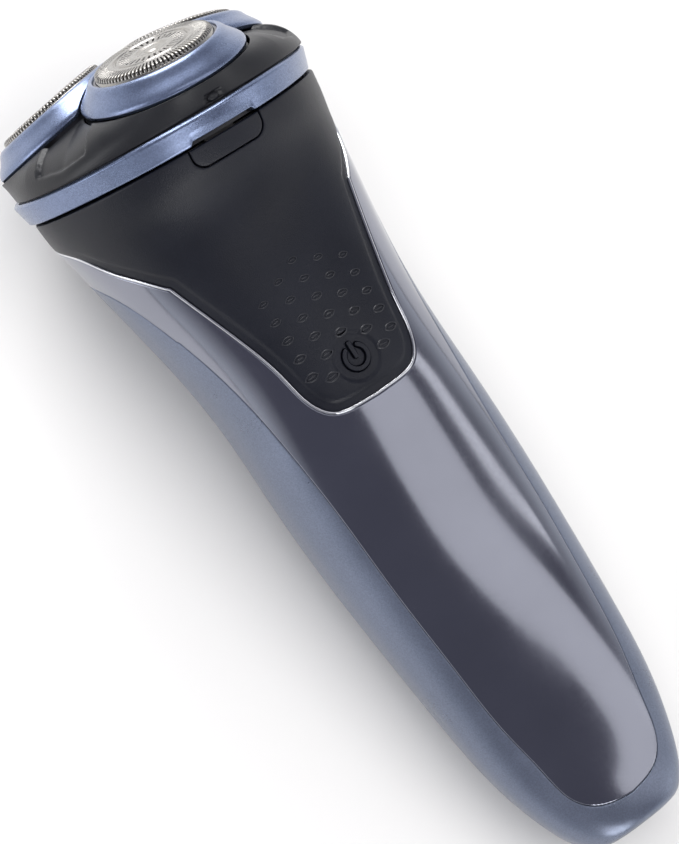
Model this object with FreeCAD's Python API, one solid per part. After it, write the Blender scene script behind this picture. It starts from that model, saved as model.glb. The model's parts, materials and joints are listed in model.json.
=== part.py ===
import FreeCAD, Part
import math
import os
from FreeCAD import Placement, Rotation, Vector

# Rotary electric shaver with three cutting heads, in millimetres.
#
# The handle is drawn first in its own frame: X to the right, Y from the tail to the head,
# Z out of the front.  The head is drawn in a head frame, whose Z leaves the middle of the
# head band at right angles to the band and whose -Y points to the front.  At the end every
# piece is turned so that the shaver lies on its back, resting on the belly of its handle
# and on the rear of its head band.

# ---------------------------------------------------------------- driving dimensions
WALL = 1.9                 # thickness of the casings
FIT_GAP = 0.15             # gap between the casings and what stands inside them

HEAD_TILT = 16.3           # forward lean of the head, degrees
HEAD_Y = 140.1             # middle of the band's upper edge
HEAD_Z = 2.35
BAND_HEIGHT = 4.4
BAND_RADIUS = 29.95
BAND_LOBE = 0.7            # how far the band bulges towards each cutting head
BAND_TAPER = 0.97          # lower edge against upper edge
BAND_BORE = 27.6
NECK_TOP = -4.9            # height of the neck's rim in the head frame
NECK_RADIUS = 28.7

REST_PITCH = 5.75         # the handle's back against the surface it lies on, degrees
REST_SHIFT_Y = -72.79      # puts the origin under the middle of the shaver
REST_LIFT = 12.21

# Handle sections: distance along the handle, height of the centre, lean of the section,
# half width, front height, back depth and the exponent of the superellipse.
HANDLE_SECTIONS = [
    (-11.3, 0.0, 0.0, 7.6, 4.8, 6.6, 2.3),
    (-10.8, 0.0, 0.0, 9.2, 6.0, 7.9, 2.3),
    (-8.6, 0.0, 0.0, 11.4, 6.9, 9.3, 2.35),
    (-2.0, 0.0, 0.0, 14.7, 7.4, 10.9, 2.35),
    (8.0, 0.0, 0.0, 17.5, 8.7, 12.8, 2.35),
    (22.0, 0.0, 0.0, 19.3, 11.0, 14.4, 2.35),
    (38.0, 0.0, 0.0, 20.5, 13.0, 16.1, 2.35),
    (55.0, 0.0, 0.0, 21.5, 14.4, 17.4, 2.35),
    (72.0, 0.0, 0.0, 21.8, 16.3, 17.5, 2.35),
    (88.0, 0.0, 0.0, 21.8, 18.4, 16.2, 2.35),
    (104.0, 0.0, 3.0, 23.6, 18.9, 15.2, 2.35),
    (117.0, -0.2, 9.0, 25.9, 20.3, 15.9, 2.3),
    (126.6, -0.6, 14.0, 27.5, 24.6, 19.2, 2.15),
]
SHOULDER_DROP = 8.6        # the neck stands nearly upright from here up to its rim
SHOULDER_SECTION = (28.4, 27.7, 25.0, 2.05)

# Seam between the front shell and the rear casing: half width against distance along the
# handle as seen from the front, then height against distance as seen from the side.
SEAM_FRONT = [(0.0, -5.6), (4.2, -4.9), (7.2, -3.6), (9.7, -0.8), (11.5, 6.0), (13.3, 15.0), (14.9, 30.0),
              (16.1, 46.0), (16.8, 62.0), (17.8, 76.0), (19.2, 89.0), (20.6, 97.0), (22.2, 104.0)]
SEAM_SIDE = [(104.0, 7.9), (110.0, 6.4), (116.5, 3.4), (122.0, -3.0), (126.0, -11.0), (128.6, -24.0)]
# Edge between the black grip and the front shell, in the same two views.
GRIP_FRONT = [(0.0, 77.0), (4.6, 77.2), (8.6, 78.3), (10.9, 81.4), (12.4, 88.0), (14.4, 96.0),
              (16.9, 104.0), (19.5, 112.0)]
GRIP_SIDE = [(112.0, 13.6), (116.5, 11.2), (121.0, 8.0), (125.5, 4.6), (129.0, 0.0), (132.5, -8.0),
             (135.5, -17.0), (137.5, -30.0)]
TRIM_WIDTH = 0.45          # bright line around the grip

MODULE = 0.6
PINION_TEETH = 15
GEAR_TEETH = 32
GEAR_FACE = 1.8
GEAR_BASE = -8.8
BACKLASH = 0.10
SPINDLE_RADIUS = MODULE * (PINION_TEETH + GEAR_TEETH) / 2.0   # spindles from the head's axis
LOBE_COUNT = 3

PLATE_TOP = -5.0
PLATE_THICK = 1.6
HOUSING_TOP = -11.5
HOUSING_THICK = 1.4
POST_CIRCLE = 16.5         # screw posts of the gear housing, from the head's axis
MOTOR_RADIUS = 7.5
MOTOR_LENGTH = 15.0
SHAFT_RADIUS = 0.75
RUNNING = 0.05             # radial clearance of shafts in their bearings

LOBE_TILT = 12.0           # each cutting head leans outwards
LOBE_HEIGHT = 3.5          # where its axis crosses its spindle's axis
SKIRT_LOW_RADIUS = 15.7
SKIRT_RIM_RADIUS = 12.5
SKIRT_LOW = 4.2
SKIRT_RIM = 8.4
LOBE_GAP = 0.3             # between neighbouring skirts, to each side of their parting plane
CAP_RADIUS = 11.15
CAP_TOP = 9.5
CAP_SKIN = 0.4
CAP_SLOTS = 48
CAP_INNER_SLOTS = 24
BLADES = 15
OPENING_RADIUS = 12.2      # openings of the head cover
PIVOT_RADIUS = 5.0         # tilt axis of each cutting head, from the head's axis
PIVOT_HEIGHT = 3.0

BUTTON_HALF = 7.2          # release button
BUTTON_DEPTH = 3.8
BUTTON_GAP = 0.25
BUTTON_BACK = 26.9
POWER_Y = 84.0
POWER_RING = 2.5
POWER_STROKE = 0.7
POWER_GAP = 0.15

INLET_WIDTH = 9.0
INLET_HEIGHT = 3.3
INLET_Z = -0.9
TAIL_END = HANDLE_SECTIONS[0][0]

HEAD = Placement(Vector(0, HEAD_Y, HEAD_Z), Rotation(Vector(1, 0, 0), HEAD_TILT - 90.0))
ROW = Placement(Vector(0, REST_SHIFT_Y, REST_LIFT), Rotation(Vector(1, 0, 0), REST_PITCH))
FAR = 80.0
NODES = {}


# ---------------------------------------------------------------- helpers
def keep(name, shape, placement=None):
    """Store one named piece, moved from its own frame into the handle's."""
    placed = shape.copy()
    if placement is not None:
        placed.transformShape(placement.toMatrix())
    NODES[name] = placed


def cylinder(radius, low, high, x=0.0, y=0.0):
    return Part.makeCylinder(radius, high - low, Vector(x, y, low))


def ring(outer, inner, low, high, x=0.0, y=0.0):
    return cylinder(outer, low, high, x, y).cut(cylinder(inner, low - 1, high + 1, x, y))


def box(x, y, z):
    """A box from three (low, high) pairs."""
    return Part.makeBox(x[1] - x[0], y[1] - y[0], z[1] - z[0], Vector(x[0], y[0], z[0]))


def revolve(points):
    """A solid turned about Z from (radius, height) corners."""
    corners = [Vector(r, 0, z) for r, z in points]
    wire = Part.makePolygon(corners + corners[:1])
    return Part.Face(wire).revolve(Vector(0, 0, 0), Vector(0, 0, 1), 360)


def spline_edge(points):
    curve = Part.BSplineCurve()
    curve.interpolate(points)
    return curve.toShape()


def spaced(shape, count):
    """Copies of a shape, turned evenly about Z."""
    copies = []
    for index in range(count):
        turned = shape.copy()
        turned.rotate(Vector(0, 0, 0), Vector(0, 0, 1), 360.0 * index / count)
        copies.append(turned)
    return copies


def power(value, exponent):
    return math.copysign(abs(value) ** exponent, value)


def section_wire(y, z, lean, half, front, back, exponent, inset):
    """One closed cross-section of the handle, drawn inset by a wall thickness."""
    lean_rad = math.radians(lean)
    points = []
    count = 40
    for index in range(count):
        angle = 2 * math.pi * index / count
        across = (half - inset) * power(math.sin(angle), 2 / exponent)
        reach = front if math.cos(angle) > 0 else back
        out = (reach - inset) * power(math.cos(angle), 2 / exponent)
        points.append(Vector(across, y - out * math.sin(lean_rad), z + out * math.cos(lean_rad)))
    curve = Part.BSplineCurve()
    curve.interpolate(Points=points, PeriodicFlag=True)
    return Part.Wire(curve.toShape())


def neck_section(height, half, front, back, exponent, inset):
    """A section square to the head's axis, at a height in the head frame."""
    lean_rad = math.radians(HEAD_TILT)
    y = HEAD_Y + height * math.cos(lean_rad)
    z = HEAD_Z + height * math.sin(lean_rad)
    return section_wire(y, z, HEAD_TILT, half, front, back, exponent, inset)


def handle_solid(inset):
    """The handle's full form up to the neck's rim, inset all round and at the tail."""
    wires = []
    for y, z, lean, half, front, back, exponent in HANDLE_SECTIONS:
        if inset and y < TAIL_END + WALL:
            continue
        wires.append(section_wire(y, z, lean, half, front, back, exponent, inset))
    half, front, back, exponent = SHOULDER_SECTION
    wires.append(neck_section(-SHOULDER_DROP, half, front, back, exponent, inset))
    wires.append(neck_section(NECK_TOP, NECK_RADIUS, NECK_RADIUS, NECK_RADIUS, 2.0, inset))
    return Part.makeLoft(wires, True, False)


def seam_prism(front_line, side_line, widen):
    """The space in front of a seam: cut from the front up to the neck, from the side above it."""
    join_y = side_line[0][0]
    right = [Vector(x + widen if x else 0.0, y - (widen if y < front_line[2][1] else 0.0), 0)
             for x, y in front_line]
    right[-1] = Vector(front_line[-1][0] + widen, join_y, 0)
    left = [Vector(-p.x, p.y, 0) for p in reversed(right[1:])]
    edge = spline_edge(left + right)
    closing = Part.makePolygon([right[-1], left[0]])
    front_part = Part.Face(Part.Wire([edge] + closing.Edges)).extrude(Vector(0, 0, FAR))
    line = [Vector(0, y, z - widen) for y, z in side_line]
    edge = spline_edge(line)
    corners = [line[-1], Vector(0, line[-1].y, -FAR), Vector(0, 2.5 * FAR, -FAR),
               Vector(0, 2.5 * FAR, FAR), Vector(0, line[0].y, FAR), line[0]]
    outline = Part.Wire([edge] + Part.makePolygon(corners).Edges)
    side_part = Part.Face(outline).extrude(Vector(2 * FAR, 0, 0))
    side_part.translate(Vector(-FAR, 0, 0))
    return front_part, side_part, join_y


def split_by_seam(shell, prism):
    """Return what lies in front of a seam and what lies behind it."""
    front_part, side_part, join_y = prism
    lower = shell.common(box((-FAR, FAR), (-FAR, join_y), (-FAR, FAR)))
    upper = shell.common(box((-FAR, FAR), (join_y, 3 * FAR), (-FAR, FAR)))
    ahead = lower.common(front_part).fuse(upper.common(side_part))
    behind = lower.cut(front_part).fuse(upper.cut(side_part))
    return ahead, behind


def biggest(shape):
    return max(shape.Solids, key=lambda solid: solid.Volume)


def lobe_frame(index):
    """Frame of a cutting head: X outwards, Z along its own leaning axis."""
    turn = Placement(Vector(0, 0, 0), Rotation(Vector(0, 0, 1), -90.0 + 360.0 * index / LOBE_COUNT))
    move = Placement(Vector(SPINDLE_RADIUS, 0, LOBE_HEIGHT), Rotation(Vector(0, 1, 0), LOBE_TILT))
    return turn.multiply(move)


def sector_frame(index):
    return Placement(Vector(0, 0, 0), Rotation(Vector(0, 0, 1), -90.0 + 360.0 * index / LOBE_COUNT))


def moved(shape, placement):
    copy = shape.copy()
    copy.transformShape(placement.toMatrix())
    return copy


def lobed_wire(radius, bulge, height):
    """Closed outline with a gentle bulge in front of each cutting head."""
    points = []
    count = 72
    for index in range(count):
        angle = 2 * math.pi * index / count
        reach = radius + bulge * math.cos(3 * (angle + math.pi / 2))
        points.append(Vector(reach * math.cos(angle), reach * math.sin(angle), height))
    curve = Part.BSplineCurve()
    curve.interpolate(Points=points, PeriodicFlag=True)
    return Part.Wire(curve.toShape())


def gear(teeth, thickness, bore, phase):
    """An external spur gear with involute flanks, standing on z = 0."""
    pitch = MODULE * teeth / 2.0
    base = pitch * math.cos(math.radians(20))
    tip = pitch + 0.92 * MODULE
    root = pitch - 1.2 * MODULE
    lowest = max(base, root)

    def half_angle(radius):
        roll = math.acos(min(1.0, base / radius))
        start = math.radians(20)
        return (math.pi / (2 * teeth) - BACKLASH / (2 * pitch)
                + (math.tan(start) - start) - (math.tan(roll) - roll))

    steps = [lowest + (tip - lowest) * part for part in (0.0, 0.4, 0.75, 1.0)]
    corners = []
    for tooth in range(teeth):
        middle = 2 * math.pi * tooth / teeth + phase
        flank = [(root, half_angle(lowest) + 0.02)] + [(r, half_angle(r)) for r in steps]
        for radius, angle in flank:
            corners.append((radius, middle - angle))
        for radius, angle in reversed(flank):
            corners.append((radius, middle + angle))
    points = [Vector(r * math.cos(a), r * math.sin(a), 0) for r, a in corners]
    blank = Part.Face(Part.makePolygon(points + points[:1])).extrude(Vector(0, 0, thickness))
    return blank.cut(cylinder(bore, -1, thickness + 1))


def coil(radius, wire_radius, pitch, height):
    """A coil spring that stands on z = -wire_radius, its eight-sided wire in short straight runs."""
    per_turn = 14
    count = round(per_turn * height / pitch)
    points = []
    for step in range(count + 1):
        angle = 2 * math.pi * step / per_turn
        points.append(Vector(radius * math.cos(angle), radius * math.sin(angle), height * step / count))
    along = (points[1] - points[0]).normalize()
    side = along.cross(Vector(1, 0, 0)).normalize()
    out = side.cross(along)
    corners = []
    for corner in range(9):
        angle = math.pi * corner / 4
        corners.append(points[0] + out * (wire_radius * math.cos(angle)) + side * (wire_radius * math.sin(angle)))
    profile = Part.makePolygon(corners)
    return Part.makePolygon(points).makePipeShell([profile], True, False, 1)


# ---------------------------------------------------------------- handle casings
def build_casings():
    outer = handle_solid(0.0)
    shell = outer.cut(handle_solid(WALL))
    front_all, rear = split_by_seam(shell, seam_prism(SEAM_FRONT, SEAM_SIDE, 0.0))
    trim_and_grip, front_shell = split_by_seam(front_all, seam_prism(GRIP_FRONT, GRIP_SIDE, TRIM_WIDTH))
    grip, trim = split_by_seam(trim_and_grip, seam_prism(GRIP_FRONT, GRIP_SIDE, 0.0))
    inlet_hole = rounded_slot(INLET_WIDTH + 1.6, INLET_HEIGHT + 1.6, TAIL_END - 1, TAIL_END + 5)
    rear = rear.cut(inlet_hole)
    button_hole = release_outline(BUTTON_HALF + BUTTON_GAP, BUTTON_DEPTH + BUTTON_GAP)
    button_hole.transformShape(HEAD.toMatrix())
    grip = grip.cut(button_hole).cut(power_glyph(POWER_GAP))
    keep("rear_casing", biggest(rear))
    keep("front_shell", biggest(front_shell))
    keep("grip_panel", biggest(grip))
    keep("grip_trim", biggest(trim))
    return outer


def rounded_slot(width, height, low, high):
    """A slot with round ends through the tail, running along the handle."""
    radius = height / 2.0
    slot = box((-width / 2 + radius, width / 2 - radius), (low, high), (INLET_Z - radius, INLET_Z + radius))
    for side in (-1, 1):
        end = Part.makeCylinder(radius, high - low, Vector(side * (width / 2 - radius), low, INLET_Z),
                                Vector(0, 1, 0))
        slot = slot.fuse(end)
    return slot.removeSplitter()


def release_outline(half, depth):
    """The release button's outline, wide at the neck's rim and rounded below, as a prism."""
    corner = 2.4
    top = NECK_TOP + 1.0
    low = NECK_TOP - depth
    plate = box((-half, half), (-31.0, -20.0), (low, top))
    lower_edges = [e for e in plate.Edges
                   if abs(e.BoundBox.ZMax - low) < 1e-6 and abs(abs(e.BoundBox.XMax) - half) < 1e-6
                   and e.BoundBox.XLength < 1e-6]
    return plate.makeFillet(corner, lower_edges)


def power_glyph(gap):
    """The power sign as a prism along Z: a ring open towards the head, and a bar in the opening."""
    middle = POWER_RING - POWER_STROKE / 2
    half = POWER_STROKE / 2 + gap
    band = ring(middle + half, middle - half, 0, FAR)
    mouth_angle = math.radians(34)
    reach = 2 * POWER_RING
    mouth = Part.Face(Part.makePolygon([
        Vector(0, 0, 0), Vector(reach * math.sin(mouth_angle), reach * math.cos(mouth_angle), 0),
        Vector(-reach * math.sin(mouth_angle), reach * math.cos(mouth_angle), 0),
        Vector(0, 0, 0)])).extrude(Vector(0, 0, FAR))
    bar = box((-POWER_STROKE / 2 - gap, POWER_STROKE / 2 + gap), (-0.2 - gap, POWER_RING + 0.4 + gap), (0, FAR))
    glyph = band.cut(mouth).fuse(bar)
    glyph.translate(Vector(0, POWER_Y, 0))
    return glyph


# ---------------------------------------------------------------- electronics and inlet
BOARD_Z = 6.6
BOARD_THICK = 1.2


def build_electronics():
    battery = Part.makeCylinder(7.0, 50.0, Vector(0, 14, -2.6), Vector(0, 1, 0))
    cap = Part.makeCylinder(2.6, 1.0, Vector(0, 64, -2.6), Vector(0, 1, 0))
    keep("battery", battery.fuse(cap))
    low_tab = box((-3, 3), (13.6, 14.0), (-5.5, BOARD_Z - 1.0))
    high_tab = box((-3, 3), (65.0, 65.4), (-5.5, BOARD_Z - 1.0))
    keep("battery_tabs", Part.makeCompound([low_tab, high_tab]))
    board = box((-9.5, 9.5), (26, 94), (BOARD_Z, BOARD_Z + BOARD_THICK))
    keep("circuit_board", board)
    top = BOARD_Z + BOARD_THICK
    chips = [box((-3, 3), (56, 62), (top, top + 1.0)), box((-8, -4), (46, 50), (top, top + 1.6)),
             box((4, 8), (44, 49), (top, top + 1.4)), box((-7, -4), (68, 71), (top, top + 0.8)),
             box((4, 6.5), (64, 66.5), (top, top + 0.8)), box((-2, 2), (34, 37), (top, top + 0.9))]
    keep("board_components", Part.makeCompound(chips))
    switch = box((-3, 3), (POWER_Y - 3, POWER_Y + 3), (top, top + 3.5))
    switch = switch.fuse(cylinder(1.7, top + 3.0, top + 4.2, 0, POWER_Y))
    keep("power_switch", switch)


def build_power_button(outer):
    lifted = outer.copy()
    lifted.translate(Vector(0, 0, 0.2))
    base_top = 15.0
    glyph = power_glyph(0.0).common(lifted).common(box((-FAR, FAR), (0, FAR * 2), (base_top - 0.2, FAR)))
    base = cylinder(4.0, base_top - 1.0, base_top, 0, POWER_Y)
    stem = cylinder(1.2, 12.8, base_top - 0.5, 0, POWER_Y)
    keep("power_button", base.fuse(glyph).fuse(stem))


def build_inlet():
    bezel = rounded_slot(INLET_WIDTH + 1.54, INLET_HEIGHT + 1.54, TAIL_END, TAIL_END + 1.9)
    keep("inlet_bezel", bezel.cut(rounded_slot(INLET_WIDTH, INLET_HEIGHT, TAIL_END - 1, TAIL_END + 3)))
    shell = rounded_slot(INLET_WIDTH, INLET_HEIGHT, TAIL_END + 0.3, TAIL_END + 7.8)
    hollow = rounded_slot(INLET_WIDTH - 0.6, INLET_HEIGHT - 0.6, TAIL_END - 1, TAIL_END + 6.6)
    keep("inlet_shell", shell.cut(hollow))
    keep("inlet_tongue", box((-3.3, 3.3), (TAIL_END + 1.4, TAIL_END + 6.6), (INLET_Z - 0.35, INLET_Z + 0.35)))
    board_y = TAIL_END + 7.8
    keep("inlet_board", box((-7, 7), (board_y, board_y + 1.0), (INLET_Z - 4.2, INLET_Z + 4.2)))


# ---------------------------------------------------------------- drive train (head frame)
def spindle_points():
    frames = [sector_frame(index) for index in range(LOBE_COUNT)]
    return [frame.multVec(Vector(SPINDLE_RADIUS, 0, 0)) for frame in frames]


def post_points():
    angles = [math.radians(-30 + 360.0 * index / LOBE_COUNT) for index in range(LOBE_COUNT)]
    return [Vector(POST_CIRCLE * math.cos(a), POST_CIRCLE * math.sin(a), 0) for a in angles]


def build_chassis():
    core = handle_solid(WALL + FIT_GAP)
    to_head = HEAD.inverse()
    core = moved(core, to_head)
    plate_low = PLATE_TOP - PLATE_THICK
    slab = box((-FAR, FAR), (-FAR, FAR), (plate_low, PLATE_TOP))
    plate = core.common(slab)
    recess = box((-8.0, 8.0), (-FAR, -24.2), (-10.0, 0.0))
    plate = plate.cut(recess)
    for point in spindle_points():
        plate = plate.fuse(cylinder(3.6, PLATE_TOP - 0.1, PLATE_TOP + 0.9, point.x, point.y))
    for side in (-1, 1):
        plate = plate.fuse(box(sorted((side * 5.1, side * 7.5)), (-24.6, -23.4), (-9.0, plate_low + 0.1)))
    plate = plate.cut(box((-8.0, 8.0), (-FAR, -24.4), (-10.0, 0.0)))
    for point in spindle_points():
        plate = plate.cut(cylinder(1.5 + RUNNING, -20, 5, point.x, point.y))
    for point in post_points():
        plate = plate.cut(cylinder(1.0, -20, 5, point.x, point.y))
    keep("neck_plate", plate, HEAD)

    seal_slab = box((-FAR, FAR), (-FAR, FAR), (PLATE_TOP, PLATE_TOP + 0.6))
    seal_blank = cylinder(NECK_RADIUS - WALL - FIT_GAP - 0.05, PLATE_TOP, PLATE_TOP + 0.6)
    seal = seal_blank.common(seal_slab).common(core).cut(cylinder(25.0, -20, 5)).cut(
        box((-8.0, 8.0), (-FAR, -20.0), (-10.0, 0.0)))
    keep("neck_seal", biggest(seal), HEAD)

    floor_low = HOUSING_TOP - HOUSING_THICK
    housing = core.common(box((-FAR, FAR), (-FAR, FAR), (floor_low, HOUSING_TOP)))
    for point in post_points():
        housing = housing.fuse(cylinder(2.2, HOUSING_TOP - 0.1, plate_low, point.x, point.y))
    for point in post_points():
        housing = housing.cut(cylinder(1.0, HOUSING_TOP + 0.5, 5, point.x, point.y))
    for point in spindle_points():
        housing = housing.cut(cylinder(1.0 + RUNNING, -20, 5, point.x, point.y))
    housing = housing.cut(cylinder(2.6, -20, 5))
    keep("gear_housing", housing, HEAD)

    screws = []
    for point in post_points():
        head = cylinder(1.9, PLATE_TOP, PLATE_TOP + 1.2, point.x, point.y)
        drive = box((point.x - 1.4, point.x + 1.4), (point.y - 0.25, point.y + 0.25),
                    (PLATE_TOP + 0.7, PLATE_TOP + 2))
        shank = cylinder(1.0, HOUSING_TOP + 1.0, PLATE_TOP + 0.1, point.x, point.y)
        screws.append(head.cut(drive).fuse(shank))
    keep("plate_screws", Part.makeCompound(screws), HEAD)


def build_motor():
    top = HOUSING_TOP - HOUSING_THICK
    low = top - MOTOR_LENGTH
    can = cylinder(MOTOR_RADIUS, low, top).cut(cylinder(MOTOR_RADIUS - 0.6, low - 1, top - 0.8))
    boss = cylinder(2.55, top - 0.1, top + 0.9)
    can = can.fuse(boss).cut(cylinder(SHAFT_RADIUS + RUNNING, low - 1, top + 5))
    keep("motor_can", can, HEAD)
    end = cylinder(MOTOR_RADIUS - 0.6, low, low + 1.2).cut(cylinder(SHAFT_RADIUS + RUNNING, low - 1, low + 3))
    keep("motor_end_plate", end, HEAD)
    tabs = [box((side * 3.5 - 0.8, side * 3.5 + 0.8), (-0.2, 0.2), (low - 2.4, low)) for side in (-1, 1)]
    keep("motor_terminals", Part.makeCompound(tabs), HEAD)
    shaft = cylinder(SHAFT_RADIUS, low + 0.2, GEAR_BASE + GEAR_FACE)
    armature = cylinder(5.6, low + 2.4, top - 1.8)
    for turn in spaced(box((3.6, 7), (-0.5, 0.5), (low, top)), 5):
        armature = armature.cut(turn)
    keep("motor_rotor", shaft.fuse(armature), HEAD)
    pinion = gear(PINION_TEETH, GEAR_FACE, SHAFT_RADIUS, -math.pi / 2 + math.pi / PINION_TEETH)
    pinion.translate(Vector(0, 0, GEAR_BASE))
    keep("drive_pinion", pinion, HEAD)


def build_spindles():
    wheel = gear(GEAR_TEETH, GEAR_FACE, 1.5, math.pi)
    wheel.translate(Vector(SPINDLE_RADIUS, 0, GEAR_BASE))
    shaft = cylinder(1.0, HOUSING_TOP - HOUSING_THICK + 0.2, HOUSING_TOP + 0.5)
    shaft = shaft.fuse(cylinder(1.5, HOUSING_TOP + 0.3, 1.9))
    shaft = shaft.fuse(cylinder(2.6, 1.2, 1.9))
    hexagon = [Vector(1.5 * math.cos(math.radians(60 * k)), 1.5 * math.sin(math.radians(60 * k)), 1.8)
               for k in range(7)]
    shaft = shaft.fuse(Part.Face(Part.makePolygon(hexagon)).extrude(Vector(0, 0, 4.6)))
    shaft.translate(Vector(SPINDLE_RADIUS, 0, 0))
    spring = coil(2.15, 0.28, 1.25, 4.0)
    spring.translate(Vector(SPINDLE_RADIUS, 0, -3.2))
    for index in range(LOBE_COUNT):
        frame = HEAD.multiply(sector_frame(index))
        keep("drive_gear_%d" % (index + 1), wheel, frame)
        keep("drive_spindle_%d" % (index + 1), shaft, frame)
        keep("spindle_spring_%d" % (index + 1), spring, frame)


# ---------------------------------------------------------------- shaving unit (head frame)
def build_band():
    low = lobed_wire(BAND_RADIUS * BAND_TAPER, BAND_LOBE, -BAND_HEIGHT)
    high = lobed_wire(BAND_RADIUS, BAND_LOBE, -0.5)
    top = lobed_wire(BAND_RADIUS - 0.5, BAND_LOBE, 0.0)
    band = Part.makeLoft([low, high], True, True).fuse(Part.makeLoft([high, top], True, True))
    band = band.cut(cylinder(BAND_BORE, -FAR, FAR))
    lip = box((-6.2, 6.2), (-FAR, -20), (-BAND_HEIGHT - 1, -BAND_HEIGHT + 0.7))
    keep("head_band", band.cut(lip), HEAD)


def build_hair_chamber():
    chamber = ring(BAND_BORE - 0.04, BAND_BORE - 1.4, -BAND_HEIGHT, -1.0)
    root = box((-3.0, 3.0), (-26.3, -25.0), (-BAND_HEIGHT, -2.0))
    tongue = root.fuse(box((-3.0, 3.0), (-25.7, -25.0), (-6.3, -BAND_HEIGHT + 0.1)))
    foot = box((-3.0, 3.0), (-25.4, -24.7), (-6.3, -5.4))
    keep("hair_chamber", chamber, HEAD)
    hook = tongue.cut(ring(BAND_BORE + 3, BAND_BORE - 1.45, -BAND_HEIGHT, 0)).fuse(foot)
    keep("latch_tongue", hook, HEAD)


def dome(inset, low):
    """The head cover's outer form, or its inside when inset."""
    profile = [(29.5, 0.3), (29.35, 1.6), (28.6, 3.2), (26.8, 4.8), (23.6, 6.2), (20.0, 7.4), (16.5, 8.5),
               (12.0, 9.0)]
    curve = [Vector(r - inset, 0, z - (inset if z > 0.5 else 0.0)) for r, z in profile]
    edge = spline_edge(curve)
    corners = [curve[-1], Vector(0, 0, curve[-1].z), Vector(0, 0, low), Vector(curve[0].x, 0, low), curve[0]]
    face = Part.Face(Part.Wire([edge] + Part.makePolygon(corners).Edges))
    return face.revolve(Vector(0, 0, 0), Vector(0, 0, 1), 360)


def build_cover():
    outer = dome(0.0, 0.3).fuse(cylinder(28.5, 0.0, 0.5))
    inner = dome(1.6, -2.0)
    for index in range(LOBE_COUNT):
        frame = lobe_frame(index)
        outer = outer.cut(moved(cylinder(SKIRT_LOW_RADIUS + 0.5, SKIRT_LOW - 1.2, FAR), frame))
        inner = inner.cut(moved(cylinder(SKIRT_LOW_RADIUS + 2.0, SKIRT_LOW - 2.7, FAR), frame))
    cover = outer.cut(inner)
    for index in range(LOBE_COUNT):
        cover = cover.cut(moved(cylinder(OPENING_RADIUS, -20.0, FAR), lobe_frame(index)))
    keep("head_cover", biggest(cover), HEAD)


def build_retaining_frame():
    plate = cylinder(27.5, -1.0, 0.0).fuse(cylinder(26.0, -1.0, 0.4))
    for index in range(LOBE_COUNT):
        frame = sector_frame(index)
        plate = plate.cut(moved(cylinder(9.0, -5, 5, SPINDLE_RADIUS + 1.0, 0), frame))
    ear_reach = PIVOT_RADIUS
    for index in range(LOBE_COUNT):
        frame = sector_frame(index)
        for side in (-1, 1):
            ear = box((ear_reach - 1.5, ear_reach + 1.5), sorted((side * 1.8, side * 2.9)), (0.0, PIVOT_HEIGHT + 1.4))
            plate = plate.fuse(moved(ear, frame))
    for index in range(LOBE_COUNT):
        frame = sector_frame(index)
        hole = Part.makeCylinder(0.6 + RUNNING, 8.0, Vector(ear_reach, -4.0, PIVOT_HEIGHT), Vector(0, 1, 0))
        plate = plate.cut(moved(hole, frame))
    keep("retaining_frame", plate, HEAD)


def build_cutting_heads():
    wedge = Part.Face(Part.makePolygon([
        Vector(LOBE_GAP / math.sin(math.radians(60)), 0, -20), Vector(60, 103.3, -20),
        Vector(60, -103.3, -20), Vector(LOBE_GAP / math.sin(math.radians(60)), 0, -20)]))
    wedge = wedge.extrude(Vector(0, 0, 60))
    skirt = revolve([(SKIRT_LOW_RADIUS, SKIRT_LOW), (SKIRT_LOW_RADIUS + 0.05, SKIRT_LOW + 0.4),
                     (SKIRT_LOW_RADIUS - 0.55, SKIRT_LOW + 1.35), (14.0, 6.7), (SKIRT_RIM_RADIUS + 0.3, 8.1),
                     (SKIRT_RIM_RADIUS - 0.1, SKIRT_RIM), (11.75, SKIRT_RIM), (11.75, 7.2), (12.6, 6.6),
                     (14.4, SKIRT_LOW + 0.6), (14.6, SKIRT_LOW)])
    seat = revolve([(11.75, 8.0), (11.35, 8.0), (11.35, 2.4), (8.8, 2.4), (8.8, 1.2), (11.75, 1.2)])
    lug = box((PIVOT_RADIUS - 1.3, PIVOT_RADIUS + 1.3), (-1.6, 1.6), (PIVOT_HEIGHT - 1.3, 8.4))
    bore = Part.makeCylinder(0.6, 8.0, Vector(PIVOT_RADIUS, -4.0, PIVOT_HEIGHT), Vector(0, 1, 0))
    pin = Part.makeCylinder(0.6, 5.6, Vector(PIVOT_RADIUS, -2.8, PIVOT_HEIGHT), Vector(0, 1, 0))
    lobe = lobe_frame(0)
    sector = sector_frame(0)
    lug_in_lobe = moved(moved(lug.cut(bore), sector), lobe.inverse())
    seat_blank = cylinder(11.75, 1.2, 2.4)
    seat = seat.fuse(lug_in_lobe.common(seat_blank.fuse(cylinder(40, -20, 1.3)))).removeSplitter()

    cap = shaving_cap()
    rotor, hub = cutter_parts()
    for index in range(LOBE_COUNT):
        label = index + 1
        lobe = lobe_frame(index)
        sector = sector_frame(index)
        frame = HEAD.multiply(lobe)
        trimmed = moved(skirt, lobe).common(moved(wedge, sector))
        keep("lobe_skirt_%d" % label, biggest(trimmed), HEAD)
        keep("lobe_seat_%d" % label, seat, frame)
        keep("lobe_pivot_pin_%d" % label, pin, HEAD.multiply(sector))
        keep("shaving_cap_%d" % label, cap, frame)
        keep("cutter_%d" % label, rotor, frame)
        keep("cutter_hub_%d" % label, hub, frame)


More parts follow.
